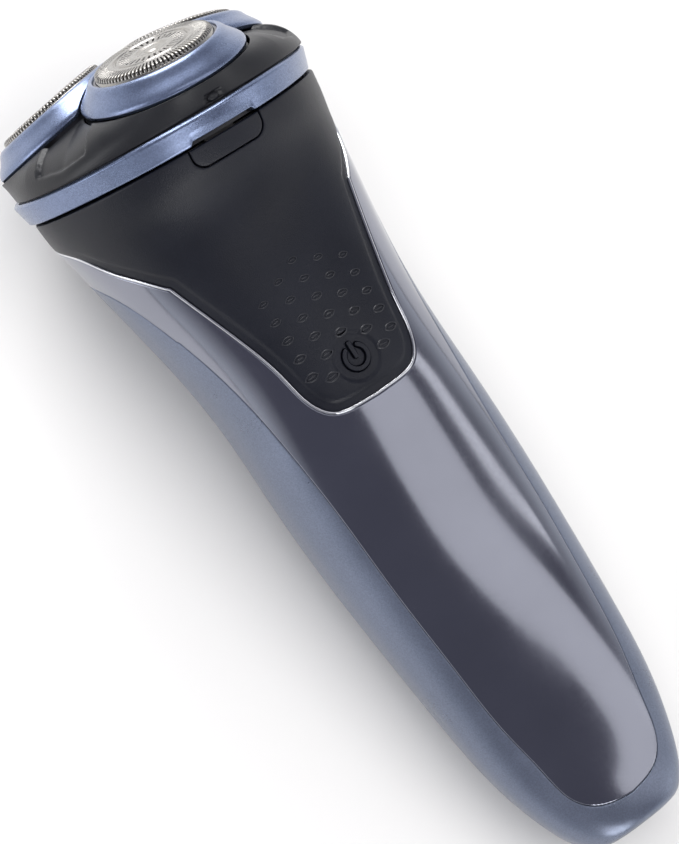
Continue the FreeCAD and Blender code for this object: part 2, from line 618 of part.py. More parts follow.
def shaving_cap():
    """The slotted steel cap: a thin cup with two shaving tracks and a groove between them."""
    low = 3.5
    outer = revolve([(0, low), (CAP_RADIUS, low), (CAP_RADIUS, CAP_TOP - 1.1), (CAP_RADIUS - 0.35, CAP_TOP - 0.35),
                     (CAP_RADIUS - 1.1, CAP_TOP), (7.4, CAP_TOP), (7.2, CAP_TOP - 0.3), (6.8, CAP_TOP - 0.3),
                     (6.6, CAP_TOP), (3.0, CAP_TOP), (2.6, CAP_TOP - 0.25), (0, CAP_TOP - 0.25)])
    inside = revolve([(0, low - 1), (CAP_RADIUS - CAP_SKIN, low - 1), (CAP_RADIUS - CAP_SKIN, CAP_TOP - 1.1),
                      (CAP_RADIUS - 1.1, CAP_TOP - CAP_SKIN - 0.3), (0, CAP_TOP - CAP_SKIN - 0.3)])
    cap = outer.cut(inside)
    slot = box((CAP_RADIUS - 2.9, CAP_RADIUS + 1), (-0.23, 0.23), (CAP_TOP - 1.9, CAP_TOP + 1))
    inner_slot = box((4.2, 6.2), (-0.2, 0.2), (CAP_TOP - 1.2, CAP_TOP + 1))
    cap = cap.cut(Part.makeCompound(spaced(slot, CAP_SLOTS)))
    return cap.cut(Part.makeCompound(spaced(inner_slot, CAP_INNER_SLOTS)))


def cutter_parts():
    """The spinning cutter and the plastic hub that carries it on its spindle."""
    disc_low = CAP_TOP - 1.9
    rotor = ring(10.2, 5.2, disc_low, disc_low + 0.5)
    blade = box((7.7, 10.2), (-0.2, 0.2), (disc_low + 0.3, CAP_TOP - CAP_SKIN - 0.42))
    blade.rotate(Vector(9, 0, 0), Vector(0, 0, 1), 22)
    rotor = rotor.fuse(spaced(blade, BLADES))
    hub = cylinder(6.4, disc_low - 1.0, disc_low).fuse(cylinder(5.2, disc_low - 0.1, disc_low + 0.5))
    hub = hub.fuse(cylinder(4.2, 1.3, disc_low))
    socket = [Vector(3.1 * math.cos(math.radians(60 * k)), 3.1 * math.sin(math.radians(60 * k)), 0)
              for k in range(7)]
    hub = hub.cut(Part.Face(Part.makePolygon(socket)).extrude(Vector(0, 0, 6.2)))
    return rotor, hub


# ---------------------------------------------------------------- release button (head frame)
def build_release_button(outer):
    outer_in_head = moved(outer, HEAD.inverse())
    block = release_outline(BUTTON_HALF, BUTTON_DEPTH).common(outer_in_head)
    block = block.common(box((-FAR, FAR), (-FAR, -BUTTON_BACK), (-FAR, NECK_TOP - 0.05)))
    rib = box((-4.5, 4.5), (-BUTTON_BACK - 0.2, -BUTTON_BACK + 0.4), (NECK_TOP - 3.0, NECK_TOP - 1.6))
    keep("release_button", biggest(block.fuse(rib)), HEAD)
    springs = []
    for side in (-1, 1):
        spring = coil(0.75, 0.16, 0.6, 2.0)
        spring.rotate(Vector(0, 0, 0), Vector(1, 0, 0), 90)
        spring.translate(Vector(side * 5.9, -24.6, -6.9))
        springs.append(spring)
    keep("release_springs", Part.makeCompound(springs), HEAD)


def build_all():
    outer = build_casings()
    build_electronics()
    build_power_button(outer)
    build_inlet()
    build_chassis()
    build_motor()
    build_spindles()
    build_band()
    build_hair_chamber()
    build_cover()
    build_retaining_frame()
    build_cutting_heads()
    build_release_button(outer)


def export_all():
    os.makedirs("parts", exist_ok=True)
    for name, shape in NODES.items():
        placed = shape.copy()
        placed.transformShape(ROW.toMatrix())
        placed.exportStep("parts/%s.step" % name)


build_all()
export_all()
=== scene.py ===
import math

import bpy
import numpy as np
from mathutils import Matrix, Vector, kdtree
from mathutils.geometry import delaunay_2d_cdt
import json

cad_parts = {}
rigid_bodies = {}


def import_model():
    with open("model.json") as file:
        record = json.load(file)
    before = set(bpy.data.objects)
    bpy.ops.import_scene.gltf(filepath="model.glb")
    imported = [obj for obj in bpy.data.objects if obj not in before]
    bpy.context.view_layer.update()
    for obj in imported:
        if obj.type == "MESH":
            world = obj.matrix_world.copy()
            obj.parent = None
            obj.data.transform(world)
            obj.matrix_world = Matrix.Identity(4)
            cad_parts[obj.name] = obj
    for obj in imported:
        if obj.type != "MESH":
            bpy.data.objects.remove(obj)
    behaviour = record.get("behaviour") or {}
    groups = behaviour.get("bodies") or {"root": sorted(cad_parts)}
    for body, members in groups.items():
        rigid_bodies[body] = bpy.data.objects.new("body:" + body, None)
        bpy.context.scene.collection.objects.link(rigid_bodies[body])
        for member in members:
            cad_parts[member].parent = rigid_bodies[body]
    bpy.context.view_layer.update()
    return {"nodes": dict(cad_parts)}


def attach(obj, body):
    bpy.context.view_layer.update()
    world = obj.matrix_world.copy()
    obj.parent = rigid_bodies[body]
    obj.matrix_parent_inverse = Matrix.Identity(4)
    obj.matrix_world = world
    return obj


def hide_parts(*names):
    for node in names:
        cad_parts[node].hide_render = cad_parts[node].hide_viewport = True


# Looks for a rotary electric shaver that lies on its back.  Shapes are worked out in
# millimetres, in the handle's frame (X right, Y from tail to head, Z out of the front) or in
# the head's frame (Z out of the head, -Y to the front), and then placed in the row frame.

for leftover in list(bpy.data.objects):
    bpy.data.objects.remove(leftover)
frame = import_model()

MM = 0.001
HEAD_TILT = 16.3
HEAD_CENTRE = (0.0, 140.1, 2.35)
NECK_TOP = -4.9
ROW = Matrix.Translation((0, -72.79, 12.21)) @ Matrix.Rotation(math.radians(5.75), 4, "X")
HEAD = Matrix.Translation(HEAD_CENTRE) @ Matrix.Rotation(math.radians(HEAD_TILT - 90.0), 4, "X")
TO_METRES = Matrix.Scale(MM, 4)

# Handle sections: distance along the handle, height of the centre, lean of the section,
# half width, front height, back depth and the exponent of the superellipse.
SECTIONS = [
    (-11.3, 0.0, 0.0, 7.6, 4.8, 6.6, 2.3),
    (-10.8, 0.0, 0.0, 9.2, 6.0, 7.9, 2.3),
    (-8.6, 0.0, 0.0, 11.4, 6.9, 9.3, 2.35),
    (-2.0, 0.0, 0.0, 14.7, 7.4, 10.9, 2.35),
    (8.0, 0.0, 0.0, 17.5, 8.7, 12.8, 2.35),
    (22.0, 0.0, 0.0, 19.3, 11.0, 14.4, 2.35),
    (38.0, 0.0, 0.0, 20.5, 13.0, 16.1, 2.35),
    (55.0, 0.0, 0.0, 21.5, 14.4, 17.4, 2.35),
    (72.0, 0.0, 0.0, 21.8, 16.3, 17.5, 2.35),
    (88.0, 0.0, 0.0, 21.8, 18.4, 16.2, 2.35),
    (104.0, 0.0, 3.0, 23.6, 18.9, 15.2, 2.35),
    (117.0, -0.2, 9.0, 25.9, 20.3, 15.9, 2.3),
    (126.6, -0.6, 14.0, 27.5, 24.6, 19.2, 2.15),
]
NECK_SECTIONS = [(-8.6, 28.4, 27.7, 25.0, 2.05), (NECK_TOP, 28.7, 28.7, 28.7, 2.0)]
SEAM_FRONT = [(0.0, -5.6), (4.2, -4.9), (7.2, -3.6), (9.7, -0.8), (11.5, 6.0), (13.3, 15.0), (14.9, 30.0),
              (16.1, 46.0), (16.8, 62.0), (17.8, 76.0), (19.2, 89.0), (20.6, 97.0), (22.2, 104.0)]
SEAM_SIDE = [(104.0, 7.9), (110.0, 6.4), (116.5, 3.4), (122.0, -3.0), (126.0, -11.0), (128.6, -24.0)]
GRIP_FRONT = [(0.0, 77.0), (4.6, 77.2), (8.6, 78.3), (10.9, 81.4), (12.4, 88.0), (14.4, 96.0),
              (16.9, 104.0), (19.5, 112.0)]
GRIP_SIDE = [(112.0, 13.6), (116.5, 11.2), (121.0, 8.0), (125.5, 4.6), (129.0, 0.0), (132.5, -8.0),
             (135.5, -17.0), (137.5, -30.0)]
TRIM_WIDTH = 0.45
EDGE_ROUND = 0.3           # rounding along the casings' seams
WALL_SHOWN = 1.3           # how far a seam's edge turns inwards
ROWS_INSIDE = (0.35, 0.8)  # rows of points that follow each rim inside its rounding
RIM_SAMPLES = 0.08         # spacing of the samples that tell how near a point is to a rim
POWER_Y = 84.0
POWER_RADIUS = 2.15
POWER_OPENING = 34         # degrees from the top to the ring's end
POWER_BAR = 2.3


# ---------------------------------------------------------------- curves and the handle's form
def chord_steps(points):
    points = np.asarray(points, float)
    return np.concatenate([[0.0], np.cumsum(np.linalg.norm(np.diff(points, axis=0), axis=1))])


def cubic(knots, values, at):
    """Natural cubic spline through rows of values at the knots."""
    knots = np.asarray(knots, float)
    values = np.asarray(values, float)
    gaps = np.diff(knots)
    count = len(knots)
    system = np.eye(count)
    right = np.zeros_like(values)
    for k in range(1, count - 1):
        system[k, k - 1:k + 2] = gaps[k - 1], 2 * (gaps[k - 1] + gaps[k]), gaps[k]
        right[k] = 6 * ((values[k + 1] - values[k]) / gaps[k] - (values[k] - values[k - 1]) / gaps[k - 1])
    bend = np.linalg.solve(system, right)
    at = np.clip(np.asarray(at, float), knots[0], knots[-1])
    k = np.clip(np.searchsorted(knots, at) - 1, 0, count - 2)
    gap = gaps[k][:, None]
    ahead = (knots[k + 1] - at)[:, None]
    behind = (at - knots[k])[:, None]
    return ((bend[k] * ahead ** 3 + bend[k + 1] * behind ** 3) / (6 * gap)
            + (values[k] / gap - bend[k] * gap / 6) * ahead
            + (values[k + 1] / gap - bend[k + 1] * gap / 6) * behind)


def smooth_line(points, count=400):
    steps = chord_steps(points)
    return cubic(steps, points, np.linspace(0, steps[-1], count))


def all_sections():
    rows = list(SECTIONS)
    lean = math.radians(HEAD_TILT)
    for height, half, front, back, exponent in NECK_SECTIONS:
        rows.append((HEAD_CENTRE[1] + height * math.cos(lean), HEAD_CENTRE[2] + height * math.sin(lean),
                     HEAD_TILT, half, front, back, exponent))
    return np.array(rows)


SECTION_ROWS = all_sections()
SECTION_STEPS = chord_steps(SECTION_ROWS[:, [0, 3, 4, 5]])
NECK_STEP = SECTION_STEPS[-1]


def signed_power(value, exponent):
    return np.sign(value) * np.abs(value) ** exponent


def handle_surface(around, along):
    """Points of the handle: the angle from the front, and the distance along from the tail."""
    around = np.atleast_1d(around)
    row = cubic(SECTION_STEPS, SECTION_ROWS, np.atleast_1d(along))
    y, z, lean, half, front, back, exponent = row.T
    across = half * signed_power(np.sin(around), 2 / exponent)
    reach = np.where(np.cos(around) > 0, front, back)
    out = reach * signed_power(np.cos(around), 2 / exponent)
    lean = np.radians(lean)
    return np.stack([across, y - out * np.sin(lean), z + out * np.cos(lean)], axis=1)


def unit(rows):
    return rows / np.maximum(np.linalg.norm(rows, axis=1, keepdims=True), 1e-12)


def slopes(surface, grid):
    """How a surface moves with each of its two parameters, and its outward normal."""
    turn, run = 2e-3, 2e-2
    by_turn = (surface(grid[:, 0] + turn, grid[:, 1]) - surface(grid[:, 0] - turn, grid[:, 1])) / (2 * turn)
    by_run = (surface(grid[:, 0], grid[:, 1] + run) - surface(grid[:, 0], grid[:, 1] - run)) / run / 2
    return by_turn, by_run, unit(np.cross(by_turn, by_run))


def seam_loop(front_line, side_line):
    """Where a seam crosses each line along the handle, as (angle, distance along) all round."""
    join = side_line[0][0]
    ahead = smooth_line(front_line)
    side = smooth_line(side_line)
    angles = np.linspace(-math.pi, math.pi, 1801)
    along = np.linspace(0, NECK_STEP, 900)
    result = []
    for angle in angles:
        points = handle_surface(np.full_like(along, angle), along)
        width = np.interp(points[:, 1], ahead[:, 1], ahead[:, 0], left=-1.0)
        inside = np.where(points[:, 2] > 0, width - np.abs(points[:, 0]), -1.0)
        level = np.interp(points[:, 1], side[:, 0], side[:, 1], right=-60.0)
        inside = np.where(points[:, 1] > join, points[:, 2] - level, inside)
        first = max(int(np.argmax(inside > 0)), 1)
        low, high = inside[first - 1], inside[first]
        share = -low / (high - low)
        result.append((angle, along[first - 1] + share * (along[first] - along[first - 1])))
    return np.array(result)


def evenly(surface, loop, spacing, closed=False):
    """The loop's points again, evenly spaced on the surface."""
    if closed:
        loop = np.vstack([loop, loop[:1]])
    steps = chord_steps(surface(loop[:, 0], loop[:, 1]))
    count = max(int(steps[-1] / spacing), 8)
    at = np.linspace(0, steps[-1], count + 1)
    spread = np.stack([np.interp(at, steps, loop[:, 0]), np.interp(at, steps, loop[:, 1])], axis=1)
    return spread[:-1] if closed else spread


def shifted(surface, loop, distance, closed=False):
    """The loop moved sideways on the surface, to its left, with its sideways direction."""
    points = surface(loop[:, 0], loop[:, 1])
    if closed:
        heading = np.roll(points, -1, axis=0) - np.roll(points, 1, axis=0)
    else:
        heading = np.empty_like(points)
        heading[1:-1] = points[2:] - points[:-2]
        heading[0] = heading[-1] = points[1] - points[-2]
    by_turn, by_run, normal = slopes(surface, loop)
    aside = unit(np.cross(normal, unit(heading)))
    aa = (by_turn * by_turn).sum(1)
    ab = (by_turn * by_run).sum(1)
    bb = (by_run * by_run).sum(1)
    pa = (by_turn * aside).sum(1) * distance
    pb = (by_run * aside).sum(1) * distance
    det = np.maximum(aa * bb - ab * ab, 1e-9)
    step = np.stack([(pa * bb - pb * ab) / det, (pb * aa - pa * ab) / det], axis=1)
    if not closed:
        step[0, 0] = step[-1, 0] = 0.0
    return loop + step, aside


def in_polygon(points, polygon):
    x, y = points[:, 0][:, None], points[:, 1][:, None]
    x0, y0 = polygon[:, 0], polygon[:, 1]
    x1, y1 = np.roll(x0, -1), np.roll(y0, -1)
    spans = (y0 > y) != (y1 > y)
    with np.errstate(divide="ignore", invalid="ignore"):
        crossing = x < (x1 - x0) * (y - y0) / (y1 - y0) + x0
    return (spans & crossing).sum(1) % 2 == 1


# ---------------------------------------------------------------- meshes
def add_object(name, data):
    added = bpy.data.objects.new(name, data)
    bpy.context.scene.collection.objects.link(added)
    return added


ROW_SHARE = 0.866          # height of an equal-sided triangle over its side


def new_piece(name, points, faces, body, slot_name, stands_for=(), normals=None,
              placed=Matrix.Identity(4), materials=None, face_materials=None):
    """One smooth mesh piece from millimetre points in the handle's frame, or in the placed frame."""
    turn = np.array(TO_METRES @ ROW @ placed)
    rows = np.asarray(points, float) @ turn[:3, :3].T + turn[:3, 3]
    mesh = bpy.data.meshes.new(name)
    mesh.from_pydata(rows.tolist(), [], [tuple(int(i) for i in face) for face in faces])
    for material in materials or [LOOKS[slot_name]]:
        mesh.materials.append(material)
    if face_materials is not None:
        mesh.polygons.foreach_set("material_index", face_materials)
    mesh.validate()
    mesh.polygons.foreach_set("use_smooth", [True] * len(mesh.polygons))
    if normals is not None:
        turned = unit(np.asarray(normals, float) @ turn[:3, :3].T)
        mesh.normals_split_custom_set_from_vertices(turned.tolist())
    mesh.update()
    piece = add_object(name, mesh)
    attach(piece, body)
    if stands_for:
        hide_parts(*stands_for)


def clothe(surface, rims, polygons, bounds, spacing, scale, round_edge=EDGE_ROUND, wall=WALL_SHOWN,
           lift=0.0, extra_rows=(), relief=None, wall_heading=None):
    """Covers the part of a surface that the polygons enclose.

    Each rim is (loop, side, closed): the part lies to the loop's left where side is 1.  Rims
    are rounded over and turned inwards, against the surface's normal or along the direction that
    wall_heading gives for each point.  The grid keeps to bounds, the lowest and highest of both
    parameters; spacing is in millimetres, and scale is the millimetres in a radian of turn.
    Returns points, faces and normals."""
    bends = [math.radians(a) for a in (90, 66, 44, 22, 0)]
    rows = [(round_edge * (1 - math.sin(a)), round_edge * (1 - math.cos(a)), a) for a in bends]
    rows += [(round_edge + extra, 0.0, 0.0) for extra in ROWS_INSIDE]
    rows += [(extra, 0.0, 0.0) for extra in extra_rows]
    reach = rows[-1][0]
    dense = []
    for loop, side, closed in rims:
        fine = evenly(surface, loop, RIM_SAMPLES, closed)
        dense.append(surface(fine[:, 0], fine[:, 1]))
    dense = np.vstack(dense)
    tree = kdtree.KDTree(len(dense))
    for index, point in enumerate(dense):
        tree.insert(point, index)
    tree.balance()

    grid, sink, tilt, aside, edges, walls = [], [], [], [], [], []
    for loop, side, closed in rims:
        for row_number, (distance, depth, bend) in enumerate(rows):
            moved_loop, sideways = shifted(surface, loop, side * distance, closed)
            if row_number == 0:
                start = len(grid)
                count = len(moved_loop)
                ring = [start + k for k in range(count)]
                edges += list(zip(ring[:-1], ring[1:])) + ([(ring[-1], ring[0])] if closed else [])
                walls.append((ring, closed))
                keep = np.ones(count, bool)
            else:
                at = surface(moved_loop[:, 0], moved_loop[:, 1])
                near = np.array([tree.find(point)[2] for point in at])
                keep = near > distance * 0.93 - 0.012
            for k in np.flatnonzero(keep):
                grid.append(moved_loop[k])
                sink.append(depth)
                tilt.append(bend)
                aside.append(sideways[k] * side)
    low_turn, high_turn, low_run, high_run = bounds
    run_rows = np.arange(low_run, high_run, spacing * ROW_SHARE)
    for number, run in enumerate(run_rows):
        girth = chord_steps(surface(np.linspace(low_turn, high_turn, 60), np.full(60, run)))[-1]
        count = max(int(girth / spacing), 6)
        turns = np.linspace(low_turn, high_turn, count + 1)
        if number % 2:
            middle = (turns[:-1] + turns[1:]) / 2
            turns = np.concatenate([[low_turn], middle, [high_turn]])
        candidates = np.stack([turns, np.full_like(turns, run)], axis=1)
        at = surface(candidates[:, 0], candidates[:, 1])
        for candidate, point in zip(candidates, at):
            if tree.find(point)[2] > reach + 0.45 * spacing:
                grid.append(candidate)
                sink.append(0.0)
                tilt.append(0.0)
                aside.append(np.zeros(3))
    grid = np.array(grid)
    unrolled = grid * np.array([scale, 1.0])
    limits = [polygon * np.array([scale, 1.0]) for polygon in polygons]
    places, _, faces, origin = delaunay_2d_cdt([Vector(p) for p in unrolled], edges, [], 0, 1e-7)[:4]
    source = [ids[0] if ids else -1 for ids in origin]
    triangles = np.array([f for f in faces if all(source[k] >= 0 for k in f)])
    plane = np.array([(p.x, p.y) for p in places])
    corners = plane[triangles]
    centres = corners.mean(axis=1)
    inside = np.zeros(len(centres), int)
    for limit in limits:
        inside += in_polygon(centres, limit)
    area = np.cross(corners[:, 1] - corners[:, 0], corners[:, 2] - corners[:, 0])
    kept = (inside % 2 == 1) & (np.abs(area) > 1e-9)
    triangles, area = triangles[kept], area[kept]
    triangles = np.where((area < 0)[:, None], triangles[:, ::-1], triangles)
    triangles = np.array(source)[triangles]

    sink, tilt, aside = np.array(sink), np.array(tilt), np.array(aside)
    base = surface(grid[:, 0], grid[:, 1])
    normal = slopes(surface, grid)[2]
    height = lift - sink
    if relief is not None:
        near = np.array([tree.find(point)[2] for point in base])
        height = height + relief(base, near)
    points = base + normal * height[:, None]
    normals = normal * np.cos(tilt)[:, None] - aside * np.sin(tilt)[:, None]
    faces = [tuple(t) for t in triangles]
    inward = -normal if wall_heading is None else wall_heading(points, -normal)
    points, normals = list(points), list(normals)
    for ring, closed in walls:
        below = []
        for k in ring:
            below.append(len(points))
            points.append(points[k] + inward[k] * wall)
            normals.append(normals[k])
        for k in range(len(ring) - 1):
            faces.append((ring[k], below[k], below[k + 1], ring[k + 1]))
        if closed:
            faces.append((ring[-1], below[-1], below[0], ring[0]))
    return weld(points, faces, normals)


def weld(points, faces, normals):
    """Joins points that share a place, drops unused ones and turns every face to its normals."""
    seen, order, swap = {}, [], {}
    for index in sorted({i for face in faces for i in face}):
        key = tuple(np.round(np.asarray(points[index]), 4))
        if key not in seen:
            seen[key] = len(order)
            order.append(index)
        swap[index] = seen[key]
    kept = []
    for face in faces:
        renamed = [swap[i] for i in face]
        tidy = [i for k, i in enumerate(renamed) if i != renamed[k - 1]]
        if len(set(tidy)) >= 3:
            kept.append(tuple(tidy))
    points = np.array([points[i] for i in order])
    normals = unit(np.array([normals[i] for i in order]))
    turned = []
    for face in kept:
        a, b, c = points[face[0]], points[face[1]], points[face[2]]
        facing = np.dot(np.cross(b - a, c - a), normals[list(face)].sum(axis=0))
        turned.append(face if facing >= 0 else tuple(reversed(face)))
    return points, turned, normals


def rings_mesh(rings, closed_profile=False, closed_ring=True):
    """The points of rings of equal length, one ring after another, and the faces between them."""
    rings = [np.asarray(ring, float) for ring in rings]
    count = len(rings[0])
    points = np.vstack(rings)
    faces = []
    pairs = len(rings) if closed_profile else len(rings) - 1
    for level in range(pairs):
        upper = (level + 1) % len(rings)
        for k in range(count if closed_ring else count - 1):
            following = (k + 1) % count
            faces.append((level * count + k, level * count + following,
                          upper * count + following, upper * count + k))
    return points, faces


def joined(parts):
    """Several (points, faces) as one."""
    points, faces, start = [], [], 0
    for part_points, part_faces in parts:
        points.append(np.asarray(part_points, float))
        faces += [tuple(i + start for i in face) for face in part_faces]
        start += len(part_points)
    return np.vstack(points), faces


def circle(radius, height, angle):
    """Points round Z; the radius and height are one number or one for each angle."""
    return np.stack([radius * np.cos(angle), radius * np.sin(angle), height + np.zeros_like(angle)], axis=1)


def lathe(profile, count, closed=True):
    """A profile of (radius, height) turned about Z."""
    angles = np.linspace(0, 2 * math.pi, count, endpoint=False)
    rings = [circle(radius, height, angles) for radius, height in profile]
    return rings_mesh(rings, closed_profile=closed)


def smooth_share(value):
    """Rises smoothly from 0 to 1 as the value does."""
    value = np.clip(value, 0, 1)
    return value * value * (3 - 2 * value)


# ---------------------------------------------------------------- materials
def shader_nodes(name):
    material = bpy.data.materials.new("look_" + name)
    material.use_nodes = True
    tree = material.node_tree
    return material, tree.nodes, tree.links, tree.nodes["Principled BSDF"]


def noise_node(nodes, links, scale, detail, stretch=None):
    coordinates = nodes.new("ShaderNodeTexCoord")
    noise = nodes.new("ShaderNodeTexNoise")
    noise.inputs["Scale"].default_value = scale
    noise.inputs["Detail"].default_value = detail
    if stretch is None:
        links.new(coordinates.outputs["Object"], noise.inputs["Vector"])
    else:
        mapping = nodes.new("ShaderNodeMapping")
        mapping.inputs["Scale"].default_value = stretch
        links.new(coordinates.outputs["Object"], mapping.inputs["Vector"])
        links.new(mapping.outputs["Vector"], noise.inputs["Vector"])
    return noise


def spread_value(nodes, links, source, low, high, start=0.3, end=0.7):
    reach = nodes.new("ShaderNodeMapRange")
    reach.inputs["From Min"].default_value = start
    reach.inputs["From Max"].default_value = end
    reach.inputs["To Min"].default_value = low
    reach.inputs["To Max"].default_value = high
    links.new(source, reach.inputs["Value"])
    return reach.outputs["Result"]


def colour_between(nodes, links, factor, first, second):
    ramp = nodes.new("ShaderNodeValToRGB")
    ramp.color_ramp.elements[0].position = 0.32
    ramp.color_ramp.elements[0].color = (*first, 1)
    ramp.color_ramp.elements[1].position = 0.68
    ramp.color_ramp.elements[1].color = (*second, 1)
    links.new(factor, ramp.inputs["Fac"])
    return ramp.outputs["Color"]


FLAKE_SCALE = 5200.0       # metal flakes to the metre
BUMP_HEIGHT = 0.0002


def finish(name, colour, metallic, roughness, grain=2500.0, relief=0.02, spread=0.08, rough_spread=0.05,
           cloud=70.0, coat=0.0, coat_roughness=0.1, flake=0.0, stretch=None, specular=0.5):
    """A moulded, coated or plated surface: clouded colour, worn gloss, fine grain, and flake."""
    material, nodes, links, shader = shader_nodes(name)
    darker = tuple(c * (1 - spread) for c in colour)
    lighter = tuple(min(c * (1 + spread), 1.0) for c in colour)
    clouds = noise_node(nodes, links, cloud, 5.0)
    tone = colour_between(nodes, links, clouds.outputs["Fac"], darker, lighter)
    fine = noise_node(nodes, links, grain, 3.0, stretch)
    if flake:
        coordinates = nodes.new("ShaderNodeTexCoord")
        cells = nodes.new("ShaderNodeTexVoronoi")
        cells.inputs["Scale"].default_value = FLAKE_SCALE
        links.new(coordinates.outputs["Object"], cells.inputs["Vector"])
        sparkle = nodes.new("ShaderNodeSeparateColor")
        links.new(cells.outputs["Color"], sparkle.inputs["Color"])
        glint = spread_value(nodes, links, sparkle.outputs["Red"], 1.0 - flake, 1.0 + flake, 0.0, 1.0)
        product = nodes.new("ShaderNodeVectorMath")
        product.operation = "SCALE"
        links.new(tone, product.inputs[0])
        links.new(glint, product.inputs["Scale"])
        tone = product.outputs["Vector"]
        gloss_source = sparkle.outputs["Green"]
    else:
        gloss_source = fine.outputs["Fac"]
    links.new(tone, shader.inputs["Base Color"])
    shader.inputs["Metallic"].default_value = metallic
    shader.inputs["Specular IOR Level"].default_value = specular
    smudge = spread_value(nodes, links, clouds.outputs["Fac"], roughness - rough_spread,
                          roughness + rough_spread)
    speckle = spread_value(nodes, links, gloss_source, -0.03, 0.03, 0.2, 0.8)
    total = nodes.new("ShaderNodeMath")
    total.operation = "ADD"
    links.new(smudge, total.inputs[0])
    links.new(speckle, total.inputs[1])
    links.new(total.outputs[0], shader.inputs["Roughness"])
    bump = nodes.new("ShaderNodeBump")
    bump.inputs["Strength"].default_value = relief
    bump.inputs["Distance"].default_value = BUMP_HEIGHT
    links.new(fine.outputs["Fac"], bump.inputs["Height"])
    links.new(bump.outputs["Normal"], shader.inputs["Normal"])
    shader.inputs["Coat Weight"].default_value = coat
    shader.inputs["Coat Roughness"].default_value = coat_roughness
    return material


# Colour, metallic, roughness and what else sets the finish apart, for each material slot.
FINISHES = {
    "casing_blue": ((0.165, 0.19, 0.255), 0.75, 0.34,
                    dict(relief=0.05, flake=0.10, coat=0.25, coat_roughness=0.25, spread=0.05)),
    "band_blue": ((0.19, 0.235, 0.36), 0.85, 0.30,
                  dict(relief=0.05, flake=0.16, coat=0.3, coat_roughness=0.2, spread=0.05)),
    "smoke_chrome": ((0.27, 0.28, 0.33), 1.0, 0.13, dict(relief=0.006, spread=0.06, rough_spread=0.03,
                                                         cloud=45.0, coat=0.5, coat_roughness=0.05)),
    "bright_trim": ((0.75, 0.76, 0.79), 1.0, 0.14, dict(relief=0.01, spread=0.03)),
    "soft_black": ((0.006, 0.007, 0.012), 0.0, 0.42,
                   dict(grain=4200.0, relief=0.3, spread=0.15, rough_spread=0.06, specular=0.38)),
    "cover_black": ((0.014, 0.0145, 0.017), 0.0, 0.36,
                    dict(grain=3600.0, relief=0.15, spread=0.12, specular=0.35)),
    "dark_plastic": ((0.022, 0.022, 0.025), 0.0, 0.45, dict(grain=3000.0, relief=0.25, spread=0.15)),
    "grey_plastic": ((0.17, 0.18, 0.19), 0.0, 0.45, dict(grain=3000.0, relief=0.2)),
    "white_plastic": ((0.72, 0.72, 0.69), 0.0, 0.4, dict(grain=2600.0, relief=0.12, spread=0.04)),
    "steel": ((0.37, 0.357, 0.335), 1.0, 0.25,
              dict(grain=900.0, relief=0.06, spread=0.07, stretch=(1.0, 6.0, 1.0))),
    "zinc_steel": ((0.52, 0.54, 0.58), 1.0, 0.34, dict(grain=1500.0, relief=0.12, spread=0.10)),
    "brass": ((0.62, 0.43, 0.15), 1.0, 0.28, dict(grain=1800.0, relief=0.1, spread=0.08)),
    "nickel": ((0.58, 0.56, 0.51), 1.0, 0.22, dict(grain=1200.0, relief=0.05)),
    "board_green": ((0.012, 0.09, 0.035), 0.0, 0.32,
                    dict(grain=1400.0, relief=0.12, spread=0.25, cloud=600.0)),
    "chip_black": ((0.012, 0.012, 0.014), 0.0, 0.5, dict(grain=3500.0, relief=0.3, spread=0.2)),
    "battery_wrap": ((0.02, 0.11, 0.33), 0.0, 0.25, dict(grain=900.0, relief=0.05, coat=0.4)),
    "seal_rubber": ((0.02, 0.02, 0.02), 0.0, 0.6, dict(grain=3500.0, relief=0.4, spread=0.2)),
    "seat_grey": ((0.16, 0.16, 0.175), 0.7, 0.34, dict(grain=2000.0, relief=0.08)),
    # near black with almost no gloss: painted shade in the leaves' sunk rings
    "shadow_black": ((0.002, 0.002, 0.003), 0.0, 0.7,
                     dict(grain=4000.0, relief=0.3, spread=0.2, specular=0.04)),
    # a lighter, glossier copy of the grip's soft black: painted sheen on the leaves' rims and ribs
    "leaf_painted_sheen": ((0.012, 0.013, 0.018), 0.0, 0.36,
                  dict(grain=4200.0, relief=0.2, spread=0.15, specular=0.5)),
}
LOOKS = {name: finish(name, *basics, **more) for name, (*basics, more) in FINISHES.items()}
for node in frame["nodes"].values():
    for entry in node.material_slots:
        entry.material = LOOKS[entry.material.name.split(".")[0]]
for label in (1, 2, 3):
    frame["nodes"]["lobe_seat_%d" % label].material_slots[0].material = LOOKS["seat_grey"]


# ---------------------------------------------------------------- handle shells
def rim_at(along):
    """A loop straight across a surface, all the way round."""
    angles = np.linspace(-math.pi, math.pi, 721)
    return np.stack([angles, np.full_like(angles, along)], axis=1)


def between(low, high):
    """The polygon between two loops that run the same way."""
    return np.vstack([low, high[::-1]])


def head_height(points):
    """Height in the head's frame of points in the handle's frame."""
    lean = math.radians(HEAD_TILT)
    return (points[:, 1] - HEAD_CENTRE[1]) * math.cos(lean) + (points[:, 2] - HEAD_CENTRE[2]) * math.sin(lean)


def located(across, level, measure, start):
    """Surface parameters of points on the front, from how far across and at which level they lie."""
    across, level = np.asarray(across, float), np.asarray(level, float)
    along = np.full_like(across, start)
    for _ in range(60):
        row = cubic(SECTION_STEPS, SECTION_ROWS, along)
        half, exponent = row[:, 3], row[:, 6]
        around = np.sign(across) * np.arcsin(np.clip(np.abs(across) / half, 0, 1) ** (exponent / 2))
        along = along + 0.7 * (level - measure(handle_surface(around, along)))
        along = np.clip(along, 0, NECK_STEP)
    return np.stack([around, along], axis=1)


def handle_level(points):
    return points[:, 1]


def arc_points(centre, radius, first, last, count=12):
    angles = np.radians(np.linspace(first, last, count))
    return [(centre[0] + radius * math.cos(a), centre[1] + radius * math.sin(a)) for a in angles]


